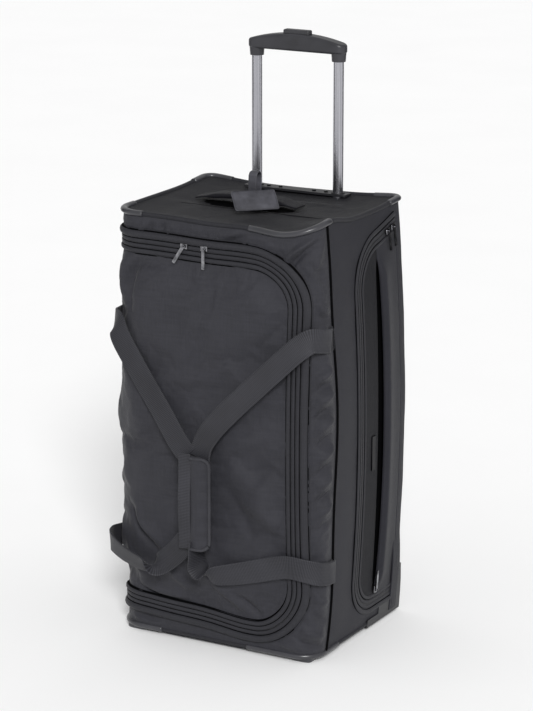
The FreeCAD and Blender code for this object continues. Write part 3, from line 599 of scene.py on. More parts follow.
# Each fold: where it starts and ends as (u, z), its sideways bow, its width and its height.
FOLDS = (
    (-122, 632, -134, 540, 16, 10, -5), (-150, 640, -158, 560, 8, 14, 4), (-100, 640, -88, 420, 14, 30, 4),
    (-150, 470, -120, 330, -8, 18, 4), (-128, 330, -150, 250, 6, 12, 3), (-60, 320, -48, 250, 6, 18, 3),
    (60, 600, 120, 540, -10, 30, 3), (-20, 600, 10, 430, 8, 26, 2), (90, 500, 60, 460, 6, 20, -2.5),
    (110, 380, 60, 330, 8, 18, 3), (120, 330, 70, 270, 8, 14, -3), (40, 330, 110, 240, -10, 18, 4),
    (30, 290, 80, 190, -8, 14, -3.5), (60, 260, 130, 220, -8, 16, 3), (100, 300, 135, 210, 6, 12, 3),
    (90, 180, 132, 140, 6, 12, 3), (35, 105, 95, 62, -4, 7, -4), (10, 112, 70, 72, -4, 9, 3.5),
    (-138, 84, -45, 69, 5, 5, -5), (-45, 69, 30, 55, 4, 5, -4), (-140, 92, -40, 80, 5, 8, 4),
    (-138, 218, -108, 168, 4, 6, -5), (-126, 226, -92, 172, 6, 9, 4), (-100, 210, -70, 150, 6, 9, 2.5),
    (-150, 160, -120, 110, 5, 9, 3), (-30, 170, 20, 110, 5, 12, 2.5), (-80, 130, -20, 100, 4, 9, 2.5),
    (-118, 672, -108, 690, 2, 4, -3), (-92, 672, -82, 692, -2, 4, -3), (-130, 674, -122, 690, 2, 4, 3),
    (20, 676, 62, 688, 3, 5, -3.5), (10, 682, 60, 696, 3, 6, 3), (196, 692, 120, 640, 10, 5, 5),
    (190, 680, 128, 628, 10, 6, -4), (206, 690, 180, 620, 8, 8, 3), (178, 640, 206, 600, -4, 8, -3),
    (186, 590, 222, 570, 3, 6, 4), (190, 572, 226, 556, 3, 5, -3.5), (188, 552, 224, 538, 3, 6, 3.5),
    (188, 470, 222, 486, -3, 6, 5), (186, 452, 220, 462, -3, 5, -4), (190, 432, 226, 450, -3, 7, 4.5),
    (186, 408, 222, 424, -3, 5, -4), (190, 388, 226, 408, -3, 7, 4.5), (188, 364, 224, 380, -3, 5, -4),
    (190, 340, 228, 362, -3, 7, 4.5), (188, 318, 224, 334, -3, 5, -4), (190, 296, 228, 316, -3, 7, 4),
    (188, 272, 226, 290, -3, 5, -4), (190, 250, 228, 272, -3, 7, 4), (188, 226, 226, 240, -3, 5, -3),
    (182, 118, 214, 100, 3, 7, 3), (176, 92, 212, 66, 4, 7, -3.5), (160, 62, 206, 44, 4, 7, 4),
    (150, 44, 200, 26, 4, 5, -3.5), (120, 30, 176, 22, 2, 5, 3), (-150, 36, -96, 30, 2, 5, -4.5),
    (-156, 26, -90, 20, 2, 5, 3.5), (-176, 200, -160, 120, 4, 9, 3), (-190, 420, -176, 330, 4, 12, 3),
    (-196, 640, -186, 560, 3, 9, 3), (-214, 520, -190, 470, 3, 9, -3), (-214, 300, -190, 240, 3, 9, 3),
)


def folds_at(u, z):
    """The height of all the listed folds at points."""
    total = np.zeros_like(u)
    for u0, z0, u1, z1, sideways, width, height in FOLDS:
        run = math.hypot(u1 - u0, z1 - z0)
        along = ((u - u0) * (u1 - u0) + (z - z0) * (z1 - z0)) / run ** 2
        away = ((u - u0) * (z1 - z0) - (z - z0) * (u1 - u0)) / run
        inside = np.clip(along, 0, 1)
        away = away - sideways * 4 * inside * (1 - inside)
        beyond = np.clip(np.maximum(-along, along - 1), 0, None) * run
        taper = (np.sin(np.pi * np.clip(along, 0.02, 0.98)) ** 0.7) * np.exp(-(beyond / width) ** 2)
        total = total + height * taper * np.exp(-(away / width) ** 2)
    return total


def soft_front_sheet():
    """The whole soft front as one sheet: both gussets, the surround and the flap."""
    rows, columns = 150, 124
    heights = np.linspace(BASE + 4, TOP - 2, rows)
    shares = np.linspace(-1, 1, columns)
    z = np.repeat(heights[:, None], columns, 1)
    right = seam_u(heights, 1)[:, None]
    left = seam_u(heights, -1)[:, None]
    u = np.where(shares[None] > 0, shares[None] * right, shares[None] * left)
    depth = flap_depth(u, z)
    edge = np.minimum(np.minimum(z - BASE, TOP - z), np.minimum(right - u, u + left))
    fade = smoothstep(edge, 0, 26)
    puff = 5.5 * smoothstep(depth, 20, 90) + 3.0 * smoothstep(-depth, 21, 46)
    keep_clear = 1 - 0.97 * np.exp(-(depth / 21) ** 4)
    points = wrap(u, z)
    flat = points.reshape(-1, 3)
    ripple = 2.2 * fractal(flat, 90, 1).reshape(u.shape) + 1.1 * fractal(flat, 30, 2).reshape(u.shape)
    out = (puff + FOLD_GAIN * folds_at(u, z) + ripple) * fade * keep_clear
    return depth, wrap(u, z, out), keep_clear * fade


def settle_cloth(points, held):
    """Lets the sheet wrinkle as cloth under a little pressure, with its seams and zip held."""
    rows, columns = points.shape[:2]
    sheet = grid_piece("settling_sheet", points)
    group = sheet.vertex_groups.new(name="held")
    weights = held.reshape(-1)
    for index, weight in enumerate(weights):
        if weight > 0.02:
            group.add([index], float(weight), "REPLACE")
    cloth = sheet.modifiers.new("cloth", "CLOTH")
    cloth.settings.quality = 4
    cloth.settings.mass = 0.25
    cloth.settings.vertex_group_mass = "held"
    cloth.settings.tension_stiffness = 20
    cloth.settings.compression_stiffness = 20
    cloth.settings.bending_stiffness = 0.4
    cloth.settings.shrink_min = -0.02
    cloth.settings.use_pressure = True
    cloth.settings.uniform_pressure_force = 0.3
    cloth.settings.effector_weights.gravity = 0
    cloth.collision_settings.use_collision = False
    cloth.point_cache.frame_start = 1
    cloth.point_cache.frame_end = 20
    scene = bpy.context.scene
    for step in range(1, 21):
        scene.frame_set(step)
    settled = sheet.evaluated_get(bpy.context.evaluated_depsgraph_get())
    moved = np.array([v.co / MM for v in settled.data.vertices]).reshape(rows, columns, 3)
    bpy.data.objects.remove(sheet)
    scene.frame_set(1)
    shift = moved - points
    size = np.linalg.norm(shift, axis=-1, keepdims=True)
    limit = np.minimum(size, CLOTH_CAP)
    return points + shift * limit / np.maximum(size, 1e-6)


CLOTH_CAP = 6.0     # the furthest that the cloth simulation may move a point
FOLD_GAIN = 2.1


def cut_from(name, points, chosen):
    """A piece made of the grid's quads whose centres are chosen."""
    rows, columns = points.shape[:2]
    faces = [f for f in grid_faces(rows, columns) if chosen[f[0] // columns, f[0] % columns]]
    used = sorted({i for f in faces for i in f})
    place = {old: new for new, old in enumerate(used)}
    flat = points.reshape(-1, 3)[used]
    piece = mesh_piece(name, flat, [tuple(place[i] for i in f) for f in faces])
    smoothed(piece)
    return piece


def make_soft_front():
    """The flap and the fabric round it, wrinkled as cloth."""
    depth, points, free = soft_front_sheet()
    points = settle_cloth(points, np.clip(1 - free, 0, 1))
    flap = cut_from("flap_fabric", points, depth > 0)
    around = cut_from("surround_fabric", points, depth <= 6)
    dress(flap, "root", SOFT_NYLON, ["front_flap"])
    dress(around, "root", SOFT_NYLON, ["front_surround", "left_gusset", "right_gusset"])
    for piece in (flap, around):
        thicken(piece, 1.2)
        piece.data.materials.append(LINING)
        piece.modifiers["thickness"].material_offset = 1


# The zip band's profile across it, from the flap side out: (offset, height).
FRONT_BAND = ((-21, -0.6), (-19.6, -1.6), (-18.0, -1.6), (-17.4, 2.2), (-15.8, 3.4), (-13.5, 3.5),
              (-11.8, 2.4), (-11.2, -0.6), (-9.6, -0.6), (-9.0, 2.0), (-4.6, 2.3), (-4.0, 1.8),
              (-3.4, -0.8), (-1.6, -0.8), (-1, 2.0), (3.0, 2.2), (3.8, 1.8), (4.4, -0.6), (6.2, -0.6),
              (6.8, 2.8), (9, 4.8), (12.0, 5.4), (14.6, 4.8), (16.4, 3.0), (17.0, -1.4), (19, -1.6),
              (21, -0.6))
# Spans of the band painted near-black: painted shade in the grooves between strips and in the gap at its
# outer edges.
SHADOWED_GROOVES = ((-20.5, -17.6), (-11.7, -9.2), (-3.8, -1.2), (4.0, 6.6), (16.6, 19.6))


def band(name, line, surface, profile, grooves, plain, dark, proud=0.0):
    """A sewn zip band along a line on a surface, with the faces in its grooves between strips given the dark
    finish: painted shadow.
    """
    offsets = np.array([p[0] for p in profile])
    heights = np.array([p[1] for p in profile]) + proud
    first = line[:, None, 0] + offsets[None] * line[:, None, 2]
    second = line[:, None, 1] + offsets[None] * line[:, None, 3]
    points = surface(first, second, np.broadcast_to(heights, first.shape))
    rows, columns = points.shape[:2]
    piece = mesh_piece(name, points, grid_faces(rows, columns))
    give_uv(piece, rows, columns, lengths(points[:, columns // 2]), list(offsets))
    piece.data.materials.append(plain)
    piece.data.materials.append(dark)
    for index, face in enumerate(piece.data.polygons):
        c = index % (columns - 1)
        middle = (offsets[c] + offsets[c + 1]) / 2
        if any(start <= middle <= end for start, end in grooves):
            face.material_index = 1
    return piece


def beside(line, surface, offset, level):
    """Points beside a line on a surface, at an outward offset and a height."""
    return surface(line[:, 0] + offset * line[:, 2], line[:, 1] + offset * line[:, 3],
                   np.full(len(line), level))


def teeth(name, line, surface, offset, pitch, width, height, level):
    """A row of small rounded zip teeth along a line on a surface."""
    centre = beside(line, surface, offset, level)
    side_point = beside(line, surface, offset + 1, level)
    raised = beside(line, surface, offset, level + 1.0)
    run = lengths(centre)
    places = np.arange(pitch, run[-1] - pitch, pitch)

    def at(values):
        return np.stack([np.interp(places, run, values[:, k]) for k in range(3)], -1)
    middle, across, up = at(centre), unit(at(side_point - centre)), unit(at(raised - centre))
    ahead = np.cross(up, across)
    ring = ((-0.5, 0.0), (-0.42, 0.8), (0.0, 1.0), (0.42, 0.8), (0.5, 0.0))
    points, faces = [], []
    for m, a, o, t in zip(middle, across, up, ahead):
        base = len(points)
        for end in (-0.32, 0.32):
            points += [m + a * width * s + o * height * h + t * pitch * end for s, h in ring]
        faces += [(base + k, base + k + 1, base + 6 + k, base + 5 + k) for k in range(4)]
        faces += [(base + 4, base + 3, base + 2, base + 1, base), tuple(base + 5 + k for k in range(5))]
    return mesh_piece(name, points, faces)


def make_front_zip():
    """The zip band round the flap, its teeth and its stitching."""
    line = flap_line(0)
    piece = band("front_zip_band", line, wrap, FRONT_BAND, SHADOWED_GROOVES, TAPE, PAINTED_SHADOW, 0.8)
    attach(piece, "root")
    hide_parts("front_zip")
    thicken(piece, 1.0)
    row = teeth("front_zip_teeth", line, wrap, -2.2, 2.6, 2.2, 1.1, 0.9)
    dress(row, "root", COIL)
    for name, offset, level in (("front_zip_stitch_inner", -8.4, 2.5), ("front_zip_stitch_outer", 9.0, 4.9)):
        dress(stitches(name, line, wrap, offset, level), "root", THREAD)


def stitches(name, line, surface, offset, level, pitch=4.4, length=2.8, thick=0.55):
    """A row of sewn stitches along a line on a surface."""
    centre = beside(line, surface, offset, level)
    raised = beside(line, surface, offset, level + 1.0)
    run = lengths(centre)
    points, faces = [], []
    for start in np.arange(pitch, run[-1] - pitch, pitch):
        ends = at_lengths(centre, np.array([start, start + length]))
        outward = unit(np.array([np.interp(start, run, (raised - centre)[:, k]) for k in range(3)]))
        ahead = unit(ends[1] - ends[0])
        across = np.cross(ahead, outward)
        base = len(points)
        for share, grow in ((0, 0.2), (0.25, 1), (0.75, 1), (1, 0.2)):
            spot = ends[0] + (ends[1] - ends[0]) * share
            for turn in range(6):
                angle = turn * math.pi / 3
                points.append(spot + thick * grow * (math.cos(angle) * across + math.sin(angle) * outward))
        for ring in range(3):
            for k in range(6):
                a, b = base + ring * 6 + k, base + ring * 6 + (k + 1) % 6
                faces.append((a, b, b + 6, a + 6))
    return mesh_piece(name, points, faces)


# ---- the boards, the top and the back ----

def rim(count, inset=0.0, z=0.0):
    """The bag's outline seen from above, as points round it from the middle of the back."""
    def corner(x, y, radius, start):
        turns = start + np.linspace(0, QUARTER, 10)
        return np.stack([x + (radius - inset) * np.cos(turns), y + (radius - inset) * np.sin(turns)], -1)
    back, front = BACK - BACK_RADIUS, FRONT + RIGHT_RADIUS
    left_front = FRONT + LEFT_RADIUS
    runs = [corner(-HALF + BACK_RADIUS, back, BACK_RADIUS, QUARTER),
            corner(-HALF + LEFT_RADIUS, left_front, LEFT_RADIUS, 2 * QUARTER),
            corner(HALF - RIGHT_RADIUS, front, RIGHT_RADIUS, 3 * QUARTER),
            corner(HALF - BACK_RADIUS, back, BACK_RADIUS, 0)]
    outline = np.vstack(runs + [runs[0][:1]])
    return np.hstack([evenly(outline, count, False), np.full((count, 1), float(z))])


def make_top():
    """The slack top panel, sagging between its edges, with a hollow under the grab handle painted near-black
    as shade.
    """
    count, rings = 260, 34
    outline = rim(count)
    middle = np.array([0, (FRONT + BACK) / 2, 0])
    shares = np.linspace(0, 1, rings) ** 0.8
    flat = middle + (outline - middle)[None] * shares[:, None, None]
    edge = smoothstep(1 - shares, 0, 0.35)[:, None]
    x, y = flat[..., 0], flat[..., 1]
    sag = -4.5 * edge
    sag = sag - 9 * hill(x, y, -30, 26, 84, 15)
    ripple = 1.6 * fractal(flat.reshape(-1, 3), 60, 4).reshape(x.shape) * edge
    creases = 2.2 * hill(x + 0.6 * y, y, 120, 90, 60, 8) - 2.0 * hill(x - 0.4 * y, y, -60, 110, 70, 7)
    z = TOP - 0.5 + sag + ripple + creases * edge + lift(x, y)
    points = np.stack([x, y, z], -1)
    piece = mesh_piece("top_fabric", points, grid_faces(rings, count, True))
    # The top takes the darkest nylon copy: painted shade for a face turned from the light.
    dress(piece, "root", TOP_NYLON_SHADED, ["top_panel"])
    piece.data.materials.append(PAINTED_SHADOW)
    # Faces in the hollow under the grab handle take the near-black finish: painted shade.
    for face in piece.data.polygons:
        place = face.center / MM
        hollow_shade = hill(place.x, place.y, -24, 38, 88, 17) > 0.42
        face.material_index = 1 if hollow_shade else 0


def rim_path(start, end, inset, z, count=120):
    """Part of the outline between two shares of its length, at a height, following the slack top."""
    whole = rim(720, inset, z)
    first, last = int(start * 720), int(end * 720)
    chosen = whole[[k % 720 for k in range(first, last + 1)]]
    return sagged(evenly(chosen, count))


def rim_share(x, y):
    """The share of the outline's length nearest to a point seen from above."""
    whole = rim(720)
    return int(np.argmin(np.hypot(whole[:, 0] - x, whole[:, 1] - y))) / 720


def make_edges():
    """Piping round the top and base, moulded guards at the corners, and the feet."""
    arm = 47
    ends = {"left_front": ((-HALF, FRONT + arm + 12), (-128, FRONT)),
            "right_front": ((66, FRONT), (HALF, FRONT + arm)),
            "right_back": ((HALF, BACK - arm), (HALF - arm, BACK)),
            "left_back": ((-HALF + arm, BACK), (-HALF, BACK - arm))}
    guards = []
    spans = []
    for (start, end) in ends.values():
        first, last = rim_share(*start), rim_share(*end)
        last = last + 1 if last < first else last
        spans.append((first, last))
        guards.append(tube("guard", rim_path(first, last, 0.5, TOP - 0.5, 60), 6.0, squash=0.8))
    dress(merge("corner_guards_top", guards), "root", GUARD, ["top_corner_guards"])
    spans.sort()
    cords = []
    for index, (first, last) in enumerate(spans):
        after = spans[(index + 1) % len(spans)][0]
        after = after + 1 if after < last else after
        cords.append(tube("cord", rim_path(last, after, 0.5, TOP - 0.5), 4.0))
    cords.append(tube("cord", rim_path(0, 0.9999, 0.0, BASE + 3, 400), 3.2))
    dress(merge("edge_piping_cord", cords), "root", PIPING, ["edge_piping"])
    low_guards = []
    for start, end in (((-HALF, FRONT + 80), (-100, FRONT)), ((60, FRONT), (HALF, FRONT + 80))):
        first, last = rim_share(*start), rim_share(*end)
        low_guards.append(tube("guard", rim_path(first, last, 0.5, BASE + 3, 60), 5.4, squash=0.9))
    feet = []
    for sign in (-1, 1):
        centre = np.array([sign * (HALF - 29), FRONT + 20])
        shape = np.array([(20 * math.copysign(abs(math.cos(t)) ** 0.5, math.cos(t)),
                           14 * math.copysign(abs(math.sin(t)) ** 0.5, math.sin(t)))
                          for t in np.arange(32) * math.pi / 16])
        layers = [(0, 0.8), (0, 0.93), (1.5, 1), (BASE + 3, 1)]
        points = [[(*(centre + shape[k] * grow), z) for k in range(32)] for z, grow in layers]
        faces = grid_faces(4, 32, True) + [tuple(range(31, -1, -1))]
        feet.append(mesh_piece("foot", points, faces))
    dress(merge("bottom_guards", low_guards + feet), "root", GUARD,
          ["bottom_corner_guards"])


def make_base():
    """The base board's cover."""
    count, rings = 200, 8
    outline = rim(count, 2.0, BASE)
    middle = np.array([0, (FRONT + BACK) / 2, BASE])
    points = middle + (outline - middle)[None] * np.linspace(0, 1, rings)[:, None, None]
    front_half = points[..., 1] < low("wheel_housing_left").y
    inside = np.abs(points[..., 0]) < low("wheel_housing_right").x
    faces = shown_faces(grid_faces(rings, count, True), front_half | inside)
    piece = mesh_piece("base_fabric", points, faces)
    thicken(piece, 3.0, False)
    dress(piece, "root", NYLON, ["bottom_board"])


def make_back():
    """The back panel, rounded into both sides, with the raised sleeve over the tubes."""
    rows, columns = 120, 150
    start = high("wheel_housing_left").z
    heights = np.linspace(BASE + 4, TOP - 1, rows)
    total = HALF + 30
    u = np.linspace(-total, total, columns)[None] * np.ones((rows, 1))
    z = np.repeat(heights[:, None], columns, 1)
    half = HALF + SIDE_BOW * bow(z)
    scale = half / HALF
    run = np.clip(np.abs(u) * scale - (half - BACK_RADIUS), 0, None)
    angle = np.clip(run / BACK_RADIUS, 0, QUARTER)
    past = np.clip(run - BACK_RADIUS * QUARTER, 0, None)
    sleeve = 1.8 * smoothstep(118 - np.abs(u), 0, 4) * smoothstep(z, 96, 106)
    ripple = 0.9 * fractal(np.stack([u, u * 0, z], -1).reshape(-1, 3), 80, 6).reshape(u.shape)
    corner = smoothstep(angle, 0.5, 1.1)
    out = sleeve + ripple * smoothstep(np.minimum(z - BASE, TOP - z), 0, 40) + over_housing(z) * corner
    x = np.minimum(np.abs(u) * scale, half - BACK_RADIUS) + (BACK_RADIUS + out) * np.sin(angle)
    y = BACK - BACK_RADIUS + (BACK_RADIUS + out) * np.cos(angle) - past
    points = sagged(np.stack([np.where(u > 0, x, -x), y, z], -1))
    clear = (z > start + 1) | (np.abs(u) < low("wheel_housing_right").x - 1) | (angle > 0.9)
    faces = shown_faces(grid_faces(rows, columns), clear)
    piece = mesh_piece("back_fabric", points, [tuple(reversed(f)) for f in faces])
    thicken(piece, 2.0)
    dress(piece, "root", NYLON, ["back_board"])


def over_housing(z):
    """How far the shell fabric stands out where it covers a wheel housing's outer face."""
    return 3.6 * smoothstep(high("wheel_housing_right").z + 70 - np.asarray(z, float), 0, 68)


def door_line(offset, count=360):
    """The door's outline on the right side as (y, z) rows with the outward turn, open at the hinge."""
    slope = (DOOR_HIGH - door_top_front()) / (DOOR_BACK - DOOR_FRONT)
    front, bottom = DOOR_FRONT - offset, DOOR_LOW - offset
    tilt = math.atan(slope)
    rows = []
    r_high, r_low = 80, 62
    corner_z = door_top_front() - r_high / math.cos(tilt) + r_high * math.tan(tilt)
    centre = (DOOR_FRONT + r_high, corner_z)
    for t in np.linspace(0, 1, count // 6, endpoint=False):
        y = DOOR_BACK + 1 + (centre[0] - math.sin(tilt) * r_high - DOOR_BACK - 1) * t
        z = door_top_front() + slope * (y - DOOR_FRONT)
        rows.append((y - offset * math.sin(tilt), z + offset * math.cos(tilt),
                     -math.sin(tilt), math.cos(tilt)))
    for turn in np.linspace(tilt, QUARTER, count // 6, endpoint=False):
        rows.append((centre[0] - (r_high + offset) * math.sin(turn),
                     centre[1] + (r_high + offset) * math.cos(turn), -math.sin(turn), math.cos(turn)))
    for z in np.linspace(corner_z, DOOR_LOW + r_low, count // 3, endpoint=False):
        rows.append((front, z, -1, 0))
    for turn in np.linspace(0, QUARTER, count // 6, endpoint=False):
        rows.append((DOOR_FRONT + r_low - (r_low + offset) * math.cos(turn),
                     DOOR_LOW + r_low - (r_low + offset) * math.sin(turn),
                     -math.cos(turn), -math.sin(turn)))
    for y in np.linspace(DOOR_FRONT + r_low, DOOR_BACK + 1, count // 6 + 1):
        rows.append((y, bottom, 0, -1))
    return np.array(rows)


def door_top_front():
    """The height where the door's slanted top would meet its front line."""
    return DOOR_HIGH - 27.8


def make_right_side():
    """The right side round the door, from the seam to the back panel."""
    line = door_line(4)
    outer = []
    high_z, low_z = TOP - 2, BASE + 4
    for y, z, away_y, away_z in line:
        reach_front = (y - SEAM + 48) / -away_y if away_y < -0.02 else 1e9
        reach_top = (high_z - z) / away_z if away_z > 0.02 else 1e9
        reach_low = (z - low_z) / -away_z if away_z < -0.02 else 1e9
        reach = min(reach_front, reach_top, reach_low)
        outer.append((y + away_y * reach, z + away_z * reach))
    outer = np.array(outer)
    columns = 22
    shares = np.linspace(0, 1, columns)
    y = line[:, None, 0] + (outer[:, None, 0] - line[:, None, 0]) * shares
    z = line[:, None, 1] + (outer[:, None, 1] - line[:, None, 1]) * shares
    y = np.maximum(y, seam_y(z))
    ripple = 0.8 * fractal(np.stack([y * 0, y, z], -1).reshape(-1, 3), 70, 8).reshape(y.shape)
    puff = 2.5 * np.sin(np.pi * np.clip(shares, 0, 1))[None] * smoothstep(np.minimum(z, TOP - z), 0, 60)
    points = side(y, z, ripple * 0.8 + puff)
    piece = mesh_piece("side_fabric_right", points, grid_faces(len(line), columns))
    depths = np.linspace(DOOR_BACK + 1, BACK - BACK_RADIUS - 2, 6)
    strip_z = np.repeat(np.linspace(low_z, high_z, 120)[:, None], 6, 1)
    strip = grid_piece("strip", side(np.repeat(depths[None], 120, 0), strip_z, over_housing(strip_z)))
    whole = merge("side_fabric_right", [piece, strip])
    thicken(whole, 2.0)
    dress(whole, "root", NYLON, ["right_side_board"])


def make_left_side():
    """The plain left side with one sewn seam line."""
    rows, columns = 110, 60
    heights = np.linspace(BASE + 4, TOP - 2, rows)
    z = np.repeat(heights[:, None], columns, 1)
    shares = np.linspace(0, 1, columns)[None]
    y = seam_y(z) + (BACK - BACK_RADIUS - 2 - seam_y(z)) * shares
    fade = smoothstep(np.minimum(z - BASE, TOP - z), 0, 60)
    ripple = fractal(np.stack([y * 0 + 90, y, z], -1).reshape(-1, 3), 70, 9).reshape(y.shape)
    points = side(y, z, (1.2 * ripple + 2.0 * np.sin(np.pi * (y - SEAM) / (BACK - SEAM))) * fade, -1)
    clear = (z > high("wheel_housing_left").z) | (y < low("wheel_housing_left").y + 38)
    faces = shown_faces(grid_faces(rows, columns), clear)
    piece = mesh_piece("side_fabric_left", points, [tuple(reversed(f)) for f in faces])
    thicken(piece, 2.0)
    dress(piece, "root", NYLON, ["left_side_board"])


def make_side_seams():
    """The bound seams where the soft front meets both sides, in the near-black finish: painted shade along
    the seams.
    """
    heights = np.linspace(BASE + 6, TOP - 4, 150)
    right = tube("seam", wrap(seam_u(heights, 1), heights, 1.2), 2.2, squash=0.9)
    left = tube("seam", wrap(-seam_u(heights, -1), heights, 1.2), 2.2, squash=0.9)
    dress(merge("side_seams", [right, left]), "root", PAINTED_SHADOW)


# ---- the side door ----

SLIT_Y = 74
SLIT_LOW = 66
SLIT_HIGH = 622
LEAF_SLOPE = 0.2057     # how the leaves' top rises towards the back, in mm per mm


def under_zip(y, z):
    """Heights kept below the door's slanted top, inside its zip."""
    return np.minimum(z, door_top_front() + LEAF_SLOPE * (y - DOOR_FRONT) - 6)


def slit_half(z):
    """Half the pocket opening's width at a height."""
    t = np.clip((np.asarray(z, float) - SLIT_LOW) / (SLIT_HIGH - SLIT_LOW), 0, 1)
    return 8.0 * (np.sin(np.pi * t) ** 0.4) + 0.2


def door_edge(z):
    """The door panel's front edge at a height, as a depth."""
    line = door_line(-6)
    z = np.asarray(z, float)
    start = np.argmax(line[:, 1])
    part = line[start:]
    order = np.argsort(part[:, 1])
    return np.interp(z, part[order, 1], part[order, 0])


def make_door():
    """The door panel: a flat front leaf, a gaping pocket slit and a raised rear leaf."""
    rows = 160
    bottom, top = DOOR_LOW + 5, DOOR_HIGH - 6
    heights = np.linspace(bottom, top, rows)
    front_edge = door_edge(heights)
    half = slit_half(heights)
    leaf = np.linspace(0, 1, 22)
    rear = np.linspace(0, 1, 24)
    fade = smoothstep(np.minimum(heights - SLIT_LOW + 14, SLIT_HIGH + 14 - heights), 0, 46)[:, None]
    z = np.repeat(heights[:, None], 22, 1)
    slit_front = np.maximum(SLIT_Y - half, front_edge + 1)[:, None]
    y = front_edge[:, None] + (slit_front - front_edge[:, None]) * leaf
    lip = -1.0 * np.exp(-((1 - leaf) * 8) ** 2)[None] * fade
    puff = 0.5 * np.sin(np.pi * leaf)[None]
    front_leaf = grid_piece("door_fabric_front", side(y, under_zip(y, z), puff + lip))
    z = np.repeat(heights[:, None], 24, 1)
    slit_back = np.maximum(SLIT_Y + half, front_edge + 1)[:, None]
    y = slit_back + (DOOR_BACK - 1 - slit_back) * rear
    roll = 9.5 * np.exp(-(rear * 2.2) ** 2)[None] * fade
    tuck = -9 * np.exp(-(rear * 14) ** 2)[None] * fade
    puff = 1.6 * np.sin(np.pi * rear)[None]
    rear_leaf = grid_piece("door_fabric_rear", side(y, under_zip(y, z), roll + tuck + puff + 0.4))
    thicken(front_leaf, 2.0)
    thicken(rear_leaf, 2.0)
    # The front leaf takes a darker copy of the shell nylon than the rear leaf: painted shade.
    dress(front_leaf, "side_door", LEAF_NYLON_SHADED, ["door_panel"])
    dress(rear_leaf, "side_door", NYLON)
    make_pocket()
    make_door_zip()


def make_pocket():
    """The pocket's liner behind the slit, in the near-black finish: painted shade inside the pocket."""
    heights = np.linspace(SLIT_LOW - 10, SLIT_HIGH + 4, 60)
    turns = np.linspace(0, math.pi, 14)
    z = np.repeat(heights[:, None], 14, 1)
    depth = 16 * smoothstep(np.minimum(heights - SLIT_LOW + 10, SLIT_HIGH + 4 - heights), 0, 50) + 2
    y = SLIT_Y + 26 * np.cos(turns)[None] * np.ones((60, 1))
    points = side(y, z, -3 - depth[:, None] * np.sin(turns)[None])
    piece = mesh_piece("pocket_lining", points, grid_faces(60, 14))
    thicken(piece, 1.0, False)
    dress(piece, "side_door", PAINTED_SHADOW, ["pocket_liner"])


# The groove spans of both door bands take the near-black finish: painted shade in the zip's grooves.
OUTER_DOOR_BAND = ((1.2, -2), (1.6, 0.4), (2.4, 1.6), (7.4, 1.8), (8.0, 0.2), (9.2, 0.2), (9.8, 2.0),
                   (12, 3.4), (15, 3.6), (17.6, 2.4), (18.4, -1.2), (20, -2.2))
OUTER_DOOR_GROOVES = ((0, 1.7), (7.7, 9.5), (18.0, 21))
INNER_DOOR_BAND = ((0.8, -2), (0.4, 0.6), (-0.4, 1.8), (-5.2, 1.9), (-5.8, 0.2), (-7.0, 0.2), (-7.6, 2.0),
                   (-10, 2.8), (-12.6, 2.0), (-13.4, 0.0), (-15, -1.6))
INNER_DOOR_GROOVES = ((-1.0, 1.0), (-7.3, -5.6), (-16, -13.2))


def make_door_zip():
    """Both halves of the door's zip: one on the shell and one on the door."""
    line = door_line(0)
    outer = band("door_zip_outer_band", line, side, OUTER_DOOR_BAND, OUTER_DOOR_GROOVES, TAPE, PAINTED_SHADOW, 0.4)
    inner = band("door_zip_inner_band", line, side, INNER_DOOR_BAND, INNER_DOOR_GROOVES, TAPE, PAINTED_SHADOW, -0.2)
    for piece, body, node in ((outer, "root", "door_zip_outer"), (inner, "side_door", "door_zip_inner")):
        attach(piece, body)
        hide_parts(node)
    thicken(outer, 1.0)
    thicken(inner, 1.0, False)
    row = teeth("door_zip_teeth", line, side, 1.0, 2.6, 3.0, 1.0, 0.5)
    dress(row, "root", COIL)


# ---- straps, wrap and grab handle ----

STRAP_HIGH = 531
STRAP_LOW = 152
WEB_HALF = 19
WEB = ((-19, 0), (-18.6, 0.9), (-17.6, 1.4), (-16.2, 1.4), (-15.4, 1.05), (-8, 1.1), (0, 1.15), (8, 1.1),
       (15.4, 1.05), (16.2, 1.4), (17.6, 1.4), (18.6, 0.9), (19, 0), (18.6, -0.9), (17.6, -1.2), (8, -1.1),
       (0, -1.1), (-8, -1.1), (-17.6, -1.2), (-18.6, -0.9))


def strap(name, stations, count, width=38.0):
    """A strap of webbing through stations: a centre, and the direction across the strap."""
    centres = spread([s[0] for s in stations], count)
    across = unit(spread([s[1] for s in stations], count))
    ahead = unit(np.gradient(centres, axis=0))
    across = unit(across - ahead * np.sum(across * ahead, -1, keepdims=True))
    outward = np.cross(across, ahead)
    profile = np.array(WEB) * (width / 38.0, 1)
    return sweep(name, centres, across, outward, profile)


